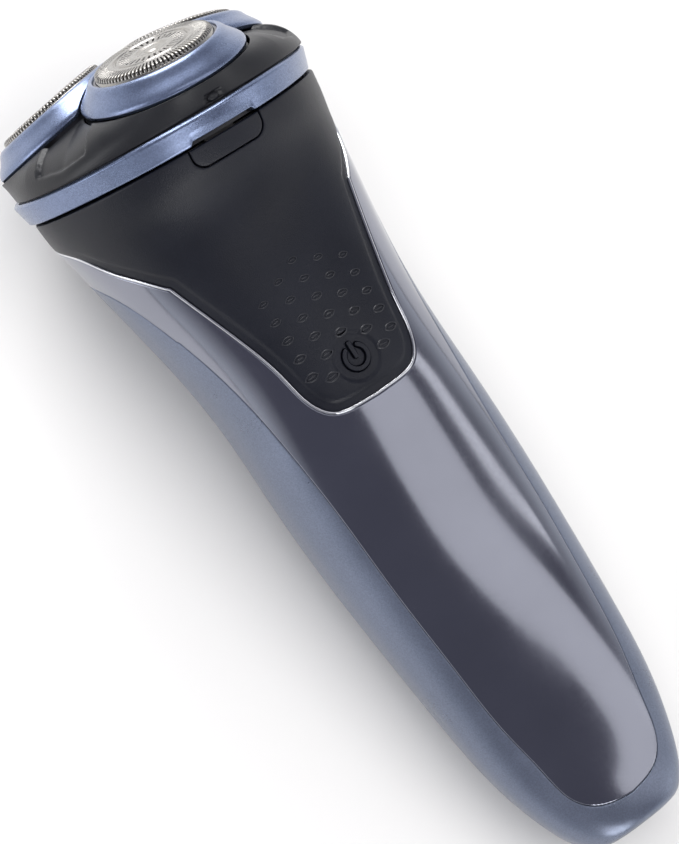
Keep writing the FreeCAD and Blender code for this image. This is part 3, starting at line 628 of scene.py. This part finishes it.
def stroke_outline(centre_line, half):
    """Outline, anticlockwise, of a line drawn with a round pen."""
    line = np.asarray(centre_line, float)
    heading = unit(np.gradient(line, axis=0))
    left = np.stack([-heading[:, 1], heading[:, 0]], axis=1) * half
    start = math.degrees(math.atan2(left[0, 1], left[0, 0]))
    end = math.degrees(math.atan2(-left[-1, 1], -left[-1, 0]))
    tail = arc_points(line[0], half, start, start + 180, 9)[1:-1]
    tip = arc_points(line[-1], half, end, end + 180, 9)[1:-1]
    return np.vstack([(line - left), tip, (line + left)[::-1], tail])


def power_outlines(half):
    """Outlines of the power sign's open ring and its bar, drawn with lines of that half width."""
    ring = arc_points((0.0, POWER_Y), POWER_RADIUS, 90 - POWER_OPENING, POWER_OPENING - 270, 60)
    bar = [(0.0, POWER_Y + 0.25 + POWER_BAR * k / 8) for k in range(9)]
    outlines = []
    for line in (ring, bar):
        outline = stroke_outline(line, half)
        outlines.append(located(outline[:, 0], outline[:, 1], handle_level, 100.0))
    return outlines


BUTTON_HALF = 7.2
BUTTON_LOW = -8.7
BUTTON_CORNER = 2.4
BUTTON_GAP = 0.25


def button_path(grow, top):
    """The release button's outline below the neck's rim, from its left to its right."""
    half, low, corner = BUTTON_HALF + grow, BUTTON_LOW - grow, BUTTON_CORNER + grow
    path = [(-half, top + (low + corner - top) * k / 6) for k in range(6)]
    path += arc_points((-half + corner, low + corner), corner, 180, 270, 12)
    path += [(-half + corner + (2 * half - 2 * corner) * k / 10, low) for k in range(1, 10)]
    path += arc_points((half - corner, low + corner), corner, 270, 360, 12)
    path += [(half, low + corner + (top - low - corner) * k / 6) for k in range(1, 7)]
    return np.array(path)


def press_walls(points, inward):
    """Walls that follow the release button's travel round its notch, and the surface elsewhere."""
    travel = np.array(HEAD.to_3x3() @ Vector((0, 1, 0)))
    by_button = (np.abs(points[:, 0]) < BUTTON_HALF + BUTTON_GAP + 0.15) & (points[:, 2] > 0)
    by_button &= head_height(points) > BUTTON_LOW - 1.5
    return np.where(by_button[:, None], travel, inward)


SEAM = evenly(handle_surface, seam_loop(SEAM_FRONT, SEAM_SIDE), 0.75)
GRIP_EDGE = evenly(handle_surface, seam_loop(GRIP_FRONT, GRIP_SIDE), 0.7)
TRIM_EDGE = shifted(handle_surface, GRIP_EDGE, -TRIM_WIDTH)[0]
TAIL_RIM = evenly(handle_surface, rim_at(0.0), 0.8)
WHOLE = (-math.pi, math.pi, 0.6, NECK_STEP - 0.3)
INLET_MIDDLE = np.array((0.0, 0.0, -0.9))
INLET_RADIUS = 2.45
INLET_STRAIGHT = 2.85      # from the inlet's middle to where its rounded ends start


def build_rear_casing():
    rims = [(TAIL_RIM, 1, False), (SEAM, -1, False)]
    points, faces, normals = clothe(handle_surface, rims, [between(TAIL_RIM, SEAM)], WHOLE, spacing=1.5,
                                    scale=20.0, round_edge=0.25)
    cap_points, cap_faces = tail_cap()
    start = len(points)
    cap_normals = np.tile((0.0, -1.0, 0.0), (len(cap_points), 1))
    count = len(tail_outline())
    cap_normals[-count:] = unit((INLET_MIDDLE - cap_points[-count:]) * (1, 0, 1))
    normals = np.vstack([normals, cap_normals])
    points = np.vstack([points, cap_points])
    faces = faces + [tuple(i + start for i in reversed(face)) for face in cap_faces]
    new_piece("rear_casing_skin", points, faces, "handle", "casing_blue", ["rear_casing"],
              normals)


def tail_outline():
    return handle_surface(np.linspace(-math.pi, math.pi, 120, endpoint=False), np.zeros(120))


def tail_cap():
    """The flat end round the inlet, with the inlet's hole turned in."""
    outline = tail_outline()
    reach = outline - INLET_MIDDLE
    slot = []
    for angle in np.arctan2(reach[:, 2], reach[:, 0]):
        c, s = math.cos(angle), math.sin(angle)
        distance = INLET_RADIUS / max(abs(s), 1e-9)
        if abs(distance * c) > INLET_STRAIGHT:
            distance = INLET_STRAIGHT * abs(c) + math.sqrt(INLET_RADIUS ** 2 - (INLET_STRAIGHT * s) ** 2)
        slot.append(INLET_MIDDLE + distance * np.array((c, 0.0, s)))
    slot = np.array(slot)
    rings = []
    for share, sag in ((0.0, 0.0), (0.12, 0.10), (0.45, 0.16), (0.86, 0.16), (1.0, 0.06)):
        ring = outline + (slot - outline) * share
        ring[:, 1] = outline[:, 1] - sag
        rings.append(ring)
    inner = slot.copy()
    inner[:, 1] = outline[:, 1] + 1.5
    rings.append(inner)
    return rings_mesh(rings)


def build_front_shell():
    rims = [(SEAM, 1, False), (TRIM_EDGE, -1, False)]
    points, faces, normals = clothe(handle_surface, rims, [between(SEAM, TRIM_EDGE)], WHOLE, spacing=1.4,
                                    scale=20.0)
    new_piece("front_shell_skin", points, faces, "handle", "smoke_chrome", ["front_shell"],
              normals)


def build_trim():
    """A bright bead between the front shell and the grip."""
    rings = []
    for bend in np.linspace(0, 180, 9):
        aside = -TRIM_WIDTH / 2 * (1 + math.cos(math.radians(bend)))
        lift = 0.13 * math.sin(math.radians(bend)) - (0.5 if bend in (0, 180) else 0.06)
        loop = shifted(handle_surface, GRIP_EDGE, aside)[0]
        normal = slopes(handle_surface, loop)[2]
        rings.append((handle_surface(loop[:, 0], loop[:, 1]) + normal * lift)[:-1])
    points, faces = rings_mesh(rings)
    new_piece("grip_trim_bead", points, [tuple(reversed(face)) for face in faces], "handle", "bright_trim",
              ["grip_trim"])


def grip_step(points, near):
    """A shallow step that runs inside the grip's edge."""
    from_neck = NECK_TOP - head_height(points)
    step = -0.34 * (1 - smooth_share((near - 1.3) / 0.8))
    return np.where(from_neck > 11.0, step, step * np.clip((from_neck - 6.0) / 5.0, 0, 1))


def build_grip():
    """The soft panel, with the button's notch in its rim and openings for the power sign."""
    notch = button_path(BUTTON_GAP, NECK_TOP)
    inside = located(notch[:, 0], notch[:, 1], head_height, NECK_STEP - 4)
    rim = rim_at(NECK_STEP)
    rim = np.vstack([rim[rim[:, 0] < inside[0, 0]], inside, rim[rim[:, 0] > inside[-1, 0]]])
    rim = evenly(handle_surface, rim, 0.45)
    rims = [(GRIP_EDGE, 1, False), (rim, -1, False)]
    polygons = [between(GRIP_EDGE, rim)]
    for outline in power_outlines(0.5):
        rims.append((outline, -1, True))
        polygons.append(outline)
    points, faces, _ = clothe(handle_surface, rims, polygons, WHOLE, spacing=1.0, scale=22.0, round_edge=0.2,
                              extra_rows=(1.3, 1.6, 1.9, 2.2), relief=grip_step, wall_heading=press_walls)
    new_piece("grip_skin", points, faces, "handle", "soft_black", ["grip_panel"])


def patch_bounds(loop):
    """The lowest and highest of both parameters along a loop."""
    return loop[:, 0].min(), loop[:, 0].max(), loop[:, 1].min(), loop[:, 1].max()


def build_power_button():
    """The power sign's ring and bar, standing up through the grip."""
    parts = []
    for outline in power_outlines(0.35):
        points, faces, _ = clothe(handle_surface, [(outline, 1, True)], [outline], patch_bounds(outline),
                                  spacing=0.3, scale=22.0, round_edge=0.16, wall=2.2, lift=0.16)
        parts.append((points, faces))
    points, faces = joined(parts)
    new_piece("power_glyph", points, faces, "power_button", "soft_black")


def build_release_button():
    outline = button_path(0.0, NECK_TOP - 0.06)
    loop = located(outline[:, 0], outline[:, 1], head_height, NECK_STEP - 4)
    top = np.stack([np.linspace(loop[-1, 0], loop[0, 0], 24)[1:-1], np.full(22, loop[-1, 1])], axis=1)
    loop = evenly(handle_surface, np.vstack([loop, top]), 0.35, closed=True)
    points, faces, _ = clothe(handle_surface, [(loop, 1, True)], [loop], patch_bounds(loop), spacing=0.8,
                              scale=22.0, round_edge=0.28, wall=0.7, wall_heading=press_walls)
    new_piece("release_button_skin", points, faces, "release_button", "soft_black",
              ["release_button"])


LEAF_PITCH = 3.75
LEAF_COLUMN = 4.3


def leaf_places():
    """Middle and length of each raised leaf on the grip."""
    places = []
    for column in range(-2, 3):
        count = 6 if abs(column) == 1 else 5
        for row in range(count):
            x = column * LEAF_COLUMN
            if row == 5:
                x += math.copysign(1.3, column)
            y = 104.0 - 1.9 * abs(column) - LEAF_PITCH * row
            size = 1.9 + 0.16 * row
            places.append((x, y, size))
    return places


# Rings of one leaf from its rim to its rib: share of the length and of the width, height, and whether the
# strip that follows is painted near black as shade; the other strips get a lighter grey that paints sheen on
# the rim and rib.
LEAF_ROWS = ((1.16, 1.3, -0.08, 0), (1.04, 1.08, 0.06, 0), (0.93, 0.92, 0.12, 0), (0.86, 0.78, 0.08, 1),
             (0.80, 0.68, -0.04, 1), (0.70, 0.36, -0.04, 1), (0.62, 0.22, 0.02, 0), (0.50, 0.10, 0.08, 0))


def build_leaves():
    """Raised leaves on the grip, each a rim round a sunk ring with a rib along its middle; the sunk ring is
    painted near black as shade, and the rim and rib a lighter grey as painted sheen.
    """
    parts, sheen_and_shade_faces = [], []
    angles = np.linspace(0, 2 * math.pi, 28, endpoint=False)
    for x, y, size in leaf_places():
        rings = []
        for long_share, wide_share, lift, shade_painted in LEAF_ROWS:
            across = x + size / 2 * long_share * np.cos(angles)
            level = y + size * 0.27 * wide_share * np.sin(angles) * np.abs(np.sin(angles)) ** 0.6
            loop = located(across, level, handle_level, 120.0)
            normal = slopes(handle_surface, loop)[2]
            rings.append(handle_surface(loop[:, 0], loop[:, 1]) + normal * lift)
        points, faces = rings_mesh(rings)
        # material 1 paints shade on the sunk ring, material 0 paints sheen on the rim and rib
        for row in LEAF_ROWS[:-1]:
            sheen_and_shade_faces += [row[3]] * len(angles)
        points = np.vstack([points, rings[-1].mean(axis=0)])
        last = (len(LEAF_ROWS) - 1) * len(angles)
        for k in range(len(angles)):
            faces.append((last + k, last + (k + 1) % len(angles), len(points) - 1))
            sheen_and_shade_faces.append(0)
        parts.append((points, faces))
    points, faces = joined(parts)
    new_piece("grip_leaves", points, faces, "handle", "soft_black",
              materials=[LOOKS["leaf_painted_sheen"], LOOKS["shadow_black"]], face_materials=sheen_and_shade_faces)


# ---------------------------------------------------------------- shaving head
BAND_RADIUS = 29.95
BAND_LOBE = 0.7
BAND_TAPER = 0.03 * BAND_RADIUS
BAND_HEIGHT = 4.4
BAND_BORE = 27.6
SPINDLE_RADIUS = 14.1
LOBE_TILT = 12.0
LOBE_HEIGHT = 3.5


def round_band(angle):
    """The band's outer radius: a circle with a slight swell in front of each cutting head."""
    return BAND_RADIUS + BAND_LOBE * np.cos(3 * angle)


def build_band():
    """The bright band, with its chamfered upper edge and the slot over the release button."""
    angle = np.linspace(-math.pi, math.pi, 720, endpoint=False)
    across = BAND_RADIUS * np.sin(angle)
    in_front = (np.abs(angle) < 1.0)
    lip = np.clip((6.9 - np.abs(across)) / 0.8, 0, 1) * in_front
    low = -BAND_HEIGHT + 0.7 * lip * lip * (3 - 2 * lip)
    reach = round_band(angle)
    foot = reach - BAND_TAPER

    def ring(radius, height):
        height = height + np.zeros_like(angle)
        return np.stack([radius * np.sin(angle), -radius * np.cos(angle), height], axis=1)

    rows = [ring(BAND_BORE, low), ring(foot - 0.45, low), ring(foot - 0.2, low + 0.05),
            ring(foot - 0.05, low + 0.2), ring(foot, low + 0.45)]
    for share, height in ((0.32, -3.0), (0.6, -2.0), (0.93, -0.85)):
        rows.append(ring(foot + (reach - foot) * share, height))
    for inset, height in ((0.0, -0.62), (0.03, -0.52), (0.09, -0.42), (0.46, -0.07), (0.56, -0.01),
                          (0.7, 0.0), (1.4, 0.0)):
        rows.append(ring(reach - inset, height))
    rows.append(ring(BAND_BORE, 0.0))
    points, faces = rings_mesh(rows, closed_profile=True)
    new_piece("head_band_skin", points, faces, "shaving_unit", "band_blue", ["head_band"],
              placed=HEAD)


COVER_RUN = 10.0           # the dome's second parameter runs from its foot to the cutting heads
COVER_FOOT = (29.42, 0.3)  # radius and height of the dome's foot, just above the band
SKIRT_REACH = 16.2         # radius and height of the line under a collar, in its cutting head's frame
SKIRT_FOOT = 3.95


def skirt_foot_line():
    """Angle from a cutting head's middle, radius and height of the line under its collar."""
    turn = np.linspace(0, math.radians(125), 200)
    lean = math.radians(LOBE_TILT)
    out = SPINDLE_RADIUS + SKIRT_REACH * np.cos(turn) * math.cos(lean) + SKIRT_FOOT * math.sin(lean)
    aside = SKIRT_REACH * np.sin(turn)
    height = LOBE_HEIGHT - SKIRT_REACH * np.cos(turn) * math.sin(lean) + SKIRT_FOOT * math.cos(lean)
    return np.arctan2(aside, out), np.hypot(out, aside), height


FOOT_ANGLE, FOOT_RADIUS, FOOT_HEIGHT = skirt_foot_line()


def cover_surface(around, along):
    """Points of the head cover in the head's frame: it rises from the band to the collars."""
    around = np.atleast_1d(around)
    share = np.atleast_1d(along) / COVER_RUN
    third = 2 * math.pi / 3
    from_lobe = np.abs((around + third / 2) % third - third / 2)
    end_radius = np.interp(from_lobe, FOOT_ANGLE, FOOT_RADIUS)
    end_height = np.interp(from_lobe, FOOT_ANGLE, FOOT_HEIGHT)
    inward = (FOOT_RADIUS[0] - end_radius) / 13.4
    middle_radius = 29.9 - 1.0 * inward
    middle_height = 2.2 + 2.6 * np.minimum(inward * 2.2, 1.0)
    low, middle, high = (1 - share) ** 2, 2 * share * (1 - share), share ** 2
    radius = low * COVER_FOOT[0] + middle * middle_radius + high * end_radius
    height = low * COVER_FOOT[1] + middle * middle_height + high * end_height
    return np.stack([radius * np.sin(around), -radius * np.cos(around), height], axis=1)


def cover_walls(points, inward):
    """Down behind the flank under the collars, so that they can tilt, and inwards at the foot."""
    radial = unit(points * (1.0, 1.0, 0.0))
    return np.where(points[:, 2:3] > 1.5, radial * -0.25 + np.array((0.0, 0.0, -0.97)), inward)


def lobe_matrix(index):
    """The frame of one cutting head in the head's frame: X runs outwards, and Z leans outwards."""
    sector = Matrix.Rotation(math.radians(-90.0 + 120.0 * index), 4, "Z")
    lean = Matrix.Rotation(math.radians(LOBE_TILT), 4, "Y")
    return sector @ (Matrix.Translation((SPINDLE_RADIUS, 0, LOBE_HEIGHT)) @ lean)


def turned_into(matrix, points):
    rows = np.array(matrix)
    return np.asarray(points) @ rows[:3, :3].T + rows[:3, 3]


PIP_ACROSS, PIP_HEIGHT = 0.8, 1.15


def cover_relief(points, near):
    """Sunken panels between the cutting heads, and a nick round the pip over the button."""
    angle = np.arctan2(points[:, 0], -points[:, 1])
    radius = np.hypot(points[:, 0], points[:, 1])
    from_gap = (angle - math.pi / 3) % (2 * math.pi / 3)
    from_gap = np.minimum(from_gap, 2 * math.pi / 3 - from_gap) * radius
    panel = smooth_share((28.6 - radius) / 0.4) * smooth_share((6.6 - from_gap) / 0.45)
    nick = smooth_share((1.75 - np.abs(points[:, 0] - PIP_ACROSS)) / 0.3)
    nick = nick * smooth_share((2.1 - points[:, 2]) / 0.3) * (points[:, 1] < 0)
    return -0.7 * panel - 0.45 * nick


def pip():
    """The small glossy pip over the release button."""
    angle = np.linspace(0, 2 * math.pi, 32, endpoint=False)
    middle = np.array((PIP_ACROSS, -29.0, PIP_HEIGHT))
    rings = []
    for share, rise in ((1.0, -0.3), (1.0, 0.25), (0.93, 0.5), (0.75, 0.68), (0.45, 0.78), (0.02, 0.82)):
        rings.append(middle + np.stack([1.15 * share * np.cos(angle), np.full(32, -rise),
                                        0.72 * share * np.sin(angle)], axis=1))
    return rings_mesh(rings)


def build_cover():
    """The satin cover: its dome, the pip, a lip on the band and a floor under each cutting head."""
    foot = evenly(cover_surface, rim_at(0.0), 0.6)
    rim = evenly(cover_surface, rim_at(COVER_RUN), 0.45)
    points, faces, _ = clothe(cover_surface, [(foot, 1, False), (rim, -1, False)], [between(foot, rim)],
                              (-math.pi, math.pi, 0.3, COVER_RUN - 0.1), spacing=0.45, scale=26.0,
                              round_edge=0.12, wall=0.3, relief=cover_relief, wall_heading=cover_walls)
    parts = [(points, faces), pip()]
    parts.append(lathe([(28.5, 0.0), (28.5, 0.6), (29.3, 0.6), (29.3, 0.32)], 240, closed=False))
    floor_points, floor_faces = pocket_floor()
    for index in range(3):
        parts.append((turned_into(lobe_matrix(index), floor_points), floor_faces))
    points, faces = joined(parts)
    new_piece("head_cover_skin", points, faces, "shaving_unit", "cover_black", ["head_cover"],
              placed=HEAD)


def wall_distance(radius, angle, height):
    """How far a point of a cutting head stands inside its third of the head."""
    lean = math.radians(LOBE_TILT)
    out = SPINDLE_RADIUS + radius * np.cos(angle) * math.cos(lean) + height * math.sin(lean)
    return out * math.sin(math.pi / 3) - np.abs(radius * np.sin(angle)) * math.cos(math.pi / 3)


def pocket_floor():
    """The floor under one cutting head, round its opening."""
    angle = np.linspace(-math.pi, math.pi, 180, endpoint=False)
    reach = np.full_like(angle, 15.6)
    for _ in range(40):
        reach = np.where(wall_distance(reach, angle, 3.0) < 0.0, reach - 0.1, reach)
    rings = [circle(radius, height, angle) for radius, height in ((12.2, 1.4), (12.2, 2.9), (12.35, 3.0))]
    rings.append(circle(reach, 3.0, angle))
    return rings_mesh(rings)


SKIRT_PROFILE = [(12.35, 8.4), (12.8, 8.12), (13.35, 7.45), (14.0, 6.7), (15.15, 5.55), (15.68, 4.75),
                 (15.75, 4.3)]
SKIRT_STEPS = chord_steps(SKIRT_PROFILE)
SKIRT_ROUND = 0.16


def skirt_mesh():
    """The bright collar of one cutting head, cut back and rounded where it meets its neighbours."""
    angle = np.linspace(-math.pi, math.pi, 360, endpoint=False)
    steps = np.linspace(0, SKIRT_STEPS[-1], 240)
    profile = cubic(SKIRT_STEPS, SKIRT_PROFILE, steps)
    ends = []
    for a in angle:
        room = wall_distance(profile[:, 0], a, profile[:, 1]) - 0.3
        blocked = np.flatnonzero(room < 0)
        ends.append(steps[blocked[0]] if len(blocked) else steps[-1])
    ends = np.array(ends)
    for _ in range(14):
        eased = (np.roll(ends, 1) + 2 * ends + np.roll(ends, -1)) / 4
        ends = np.minimum(ends, eased)
    slope = np.gradient(profile, steps, axis=0)
    facing = unit(np.stack([-slope[:, 1], slope[:, 0]], axis=1))
    facing = np.where(facing[:, :1] < 0, -facing, facing)

    def ring(at, sink):
        radius = np.interp(at, steps, profile[:, 0]) - sink * np.interp(at, steps, facing[:, 0])
        height = np.interp(at, steps, profile[:, 1]) - sink * np.interp(at, steps, facing[:, 1])
        return circle(radius, height, angle)

    lip = ((11.85, 7.0), (11.85, 8.2), (11.92, 8.36), (12.05, 8.42), (12.22, 8.43))
    rings = [circle(radius, height, angle) for radius, height in lip]
    body = ends - SKIRT_ROUND
    for share in np.linspace(0, 1, 14):
        rings.append(ring(body * share, 0.0))
    for bend in (22, 45, 68, 90):
        a = math.radians(bend)
        rings.append(ring(body + SKIRT_ROUND * math.sin(a), SKIRT_ROUND * (1 - math.cos(a))))
    low = rings[-1].copy()
    low[:, 2] -= 0.35
    rings.append(low)
    under = low.copy()
    under[:, :2] *= 0.93
    rings.append(under)
    return rings_mesh(rings)


CAP_BARS = 88
CAP_INNER_BARS = 30
CAP_TOP = 9.5
CAP_RADIUS = 11.15


def cap_bars(count, path, share):
    """Steel bars between the slots of a shaving track, following a path of (radius, height)."""
    path = np.array(path)
    slope = unit(np.gradient(path, axis=0))
    facing = np.stack([-slope[:, 1], slope[:, 0]], axis=1)
    half_turn = math.pi / count * share
    section = ((-1.0, -0.42), (-1.0, -0.06), (-0.72, 0.0), (0.72, 0.0), (1.0, -0.06), (1.0, -0.42))
    parts = []
    for bar in range(count):
        middle = 2 * math.pi * bar / count
        rings = []
        for (radius, height), face in zip(path, facing):
            ring = []
            for side, sink in section:
                turn = middle + side * half_turn
                reach = radius + face[0] * sink
                ring.append((reach * math.cos(turn), reach * math.sin(turn), height + face[1] * sink))
            rings.append(ring)
        points, faces = rings_mesh(rings, closed_ring=False)
        parts.append((points, [tuple(reversed(face)) for face in faces]))
    return joined(parts)


def below_top(profile):
    """A profile of (radius, depth under the cap's top) as (radius, height)."""
    return [(radius, CAP_TOP - depth) for radius, depth in profile]


def cap_mesh():
    """One shaving cap: a cup whose top has an outer and an inner slotted track."""
    wall = [(CAP_RADIUS, 8.55), (CAP_RADIUS, 3.5), (CAP_RADIUS - 0.4, 3.5), (CAP_RADIUS - 0.4, 8.55)]
    middle = [(8.3, 0.42), (8.34, 0.04), (8.26, 0.0), (7.5, 0.0), (7.42, 0.03), (7.3, 0.28), (6.75, 0.28),
              (6.62, 0.03), (6.54, 0.0), (6.2, 0.0), (6.12, 0.04), (6.12, 0.42)]
    centre = [(4.25, 0.42), (4.25, 0.04), (4.18, 0.0), (3.1, 0.0), (2.98, 0.03), (2.7, 0.24), (1.5, 0.25),
              (1.38, 0.22), (1.1, 0.02), (0.9, -0.02), (0.001, -0.03)]
    outer = [(8.2, 0.0), (9.0, 0.0), (9.9, 0.0), (10.4, 0.05), (10.78, 0.2), (11.0, 0.42), (11.12, 0.7),
             (CAP_RADIUS, 1.0)]
    inner = [(4.15, 0.0), (5.2, 0.0), (6.25, 0.0)]
    return joined([lathe(wall, 180), lathe(below_top(middle), 180),
                   lathe(below_top(centre), 96, closed=False),
                   cap_bars(CAP_BARS, below_top(outer), 0.56),
                   cap_bars(CAP_INNER_BARS, below_top(inner), 0.62)])


def build_cutting_heads():
    skirt = skirt_mesh()
    cap = cap_mesh()
    for index in range(3):
        label = index + 1
        place = HEAD @ lobe_matrix(index)
        new_piece("lobe_skirt_skin_%d" % label, *skirt, "lobe_%d" % label, "band_blue",
                  ["lobe_skirt_%d" % label], placed=place)
        new_piece("shaving_cap_skin_%d" % label, *cap, "cap_%d" % label, "steel",
                  ["shaving_cap_%d" % label], placed=place)


build_rear_casing()
build_front_shell()
build_trim()
build_grip()
build_power_button()
build_release_button()
build_leaves()
build_band()
build_cover()
build_cutting_heads()


# ---------------------------------------------------------------- floor, light and camera
def build_floor():
    material, _, _, shader = shader_nodes("floor")
    shader.inputs["Base Color"].default_value = (0.80, 0.79, 0.77, 1)
    shader.inputs["Roughness"].default_value = 0.7
    half = 3.0
    corners = [(-half, -half, 0), (half, -half, 0), (half, half, 0), (-half, half, 0)]
    mesh = bpy.data.meshes.new("floor")
    mesh.from_pydata(corners, [], [(0, 1, 2, 3)])
    mesh.materials.append(material)
    add_object("floor", mesh)


def area_light(name, place, target, size, power, colour=(1.0, 1.0, 1.0), height=None):
    data = bpy.data.lights.new(name, "AREA")
    data.shape = "RECTANGLE"
    data.size = size
    data.size_y = height or size
    data.energy = power
    data.color = colour
    light = add_object(name, data)
    light.location = place
    heading = Vector(target) - Vector(place)
    light.rotation_euler = heading.to_track_quat("-Z", "Y").to_euler()
    return light


def build_world():
    """A pale room that is darker overhead, so that bright plating shows its form."""
    world = bpy.data.worlds.new("studio")
    world.use_nodes = True
    nodes, links = world.node_tree.nodes, world.node_tree.links
    coordinates = nodes.new("ShaderNodeTexCoord")
    parts = nodes.new("ShaderNodeSeparateXYZ")
    links.new(coordinates.outputs["Generated"], parts.inputs["Vector"])
    ramp = nodes.new("ShaderNodeValToRGB")
    ramp.color_ramp.elements[0].position = 0.06
    ramp.color_ramp.elements[0].color = (0.80, 0.82, 0.86, 1)
    ramp.color_ramp.elements[1].position = 0.50
    ramp.color_ramp.elements[1].color = (0.16, 0.16, 0.20, 1)
    links.new(parts.outputs["Z"], ramp.inputs["Fac"])
    background = nodes["Background"]
    links.new(ramp.outputs["Color"], background.inputs["Color"])
    background.inputs["Strength"].default_value = 1.0
    bpy.context.scene.world = world


def build_lights():
    build_world()
    bpy.context.scene.view_settings.view_transform = "Standard"
    middle = (0, 0, 0.02)
    area_light("strip", (0.47, -0.38, 0.66), middle, 0.30, 2.5, (1.0, 0.99, 0.98), 2.6)
    area_light("strip_core", (0.40, -0.10, 0.80), middle, 0.07, 0.5, (1.0, 0.99, 0.97), 1.5)
    area_light("soft_left", (-1.0, 0.25, 0.10), middle, 0.35, 4.0, (0.96, 0.97, 1.0), 1.4)
    area_light("head_light", (0.15, 0.95, 0.42), (0, 0.06, 0.03), 0.55, 8.0)
    area_light("tail_light", (-0.2, -1.0, 0.45), middle, 0.5, 3.0)
    fill = area_light("fill", (0.0, 0.0, 1.3), middle, 1.8, 16.0)
    fill.visible_glossy = False


def build_camera():
    """The camera looks down on the shaver, turned so that the head is at the upper left."""
    yaw, pitch, roll = math.radians(18.14), math.radians(-3.16), math.radians(34.66)
    target = Vector((-3.43, 77.24, 0.0))
    distance = 395.0
    back = Vector((-math.sin(yaw) * math.cos(pitch), math.sin(pitch), math.cos(yaw) * math.cos(pitch)))
    up = Vector((0, 1, 0))
    up = (up - back * up.dot(back)).normalized()
    right = up.cross(back)
    turned_right = right * math.cos(roll) - up * math.sin(roll)
    turned_up = up * math.cos(roll) + right * math.sin(roll)
    place = target + back * distance
    axes = Matrix((turned_right, turned_up, back)).transposed().to_4x4()
    in_row = ROW @ Matrix.Translation(place) @ axes
    data = bpy.data.cameras.new("camera")
    data.lens = 93.84
    data.sensor_width = 36.0
    data.clip_start = 0.01
    data.clip_end = 20.0
    camera = add_object("camera", data)
    camera.matrix_world = Matrix.Translation(in_row.translation * MM) @ in_row.to_3x3().to_4x4()
    bpy.context.scene.camera = camera


build_floor()
build_lights()
build_camera()
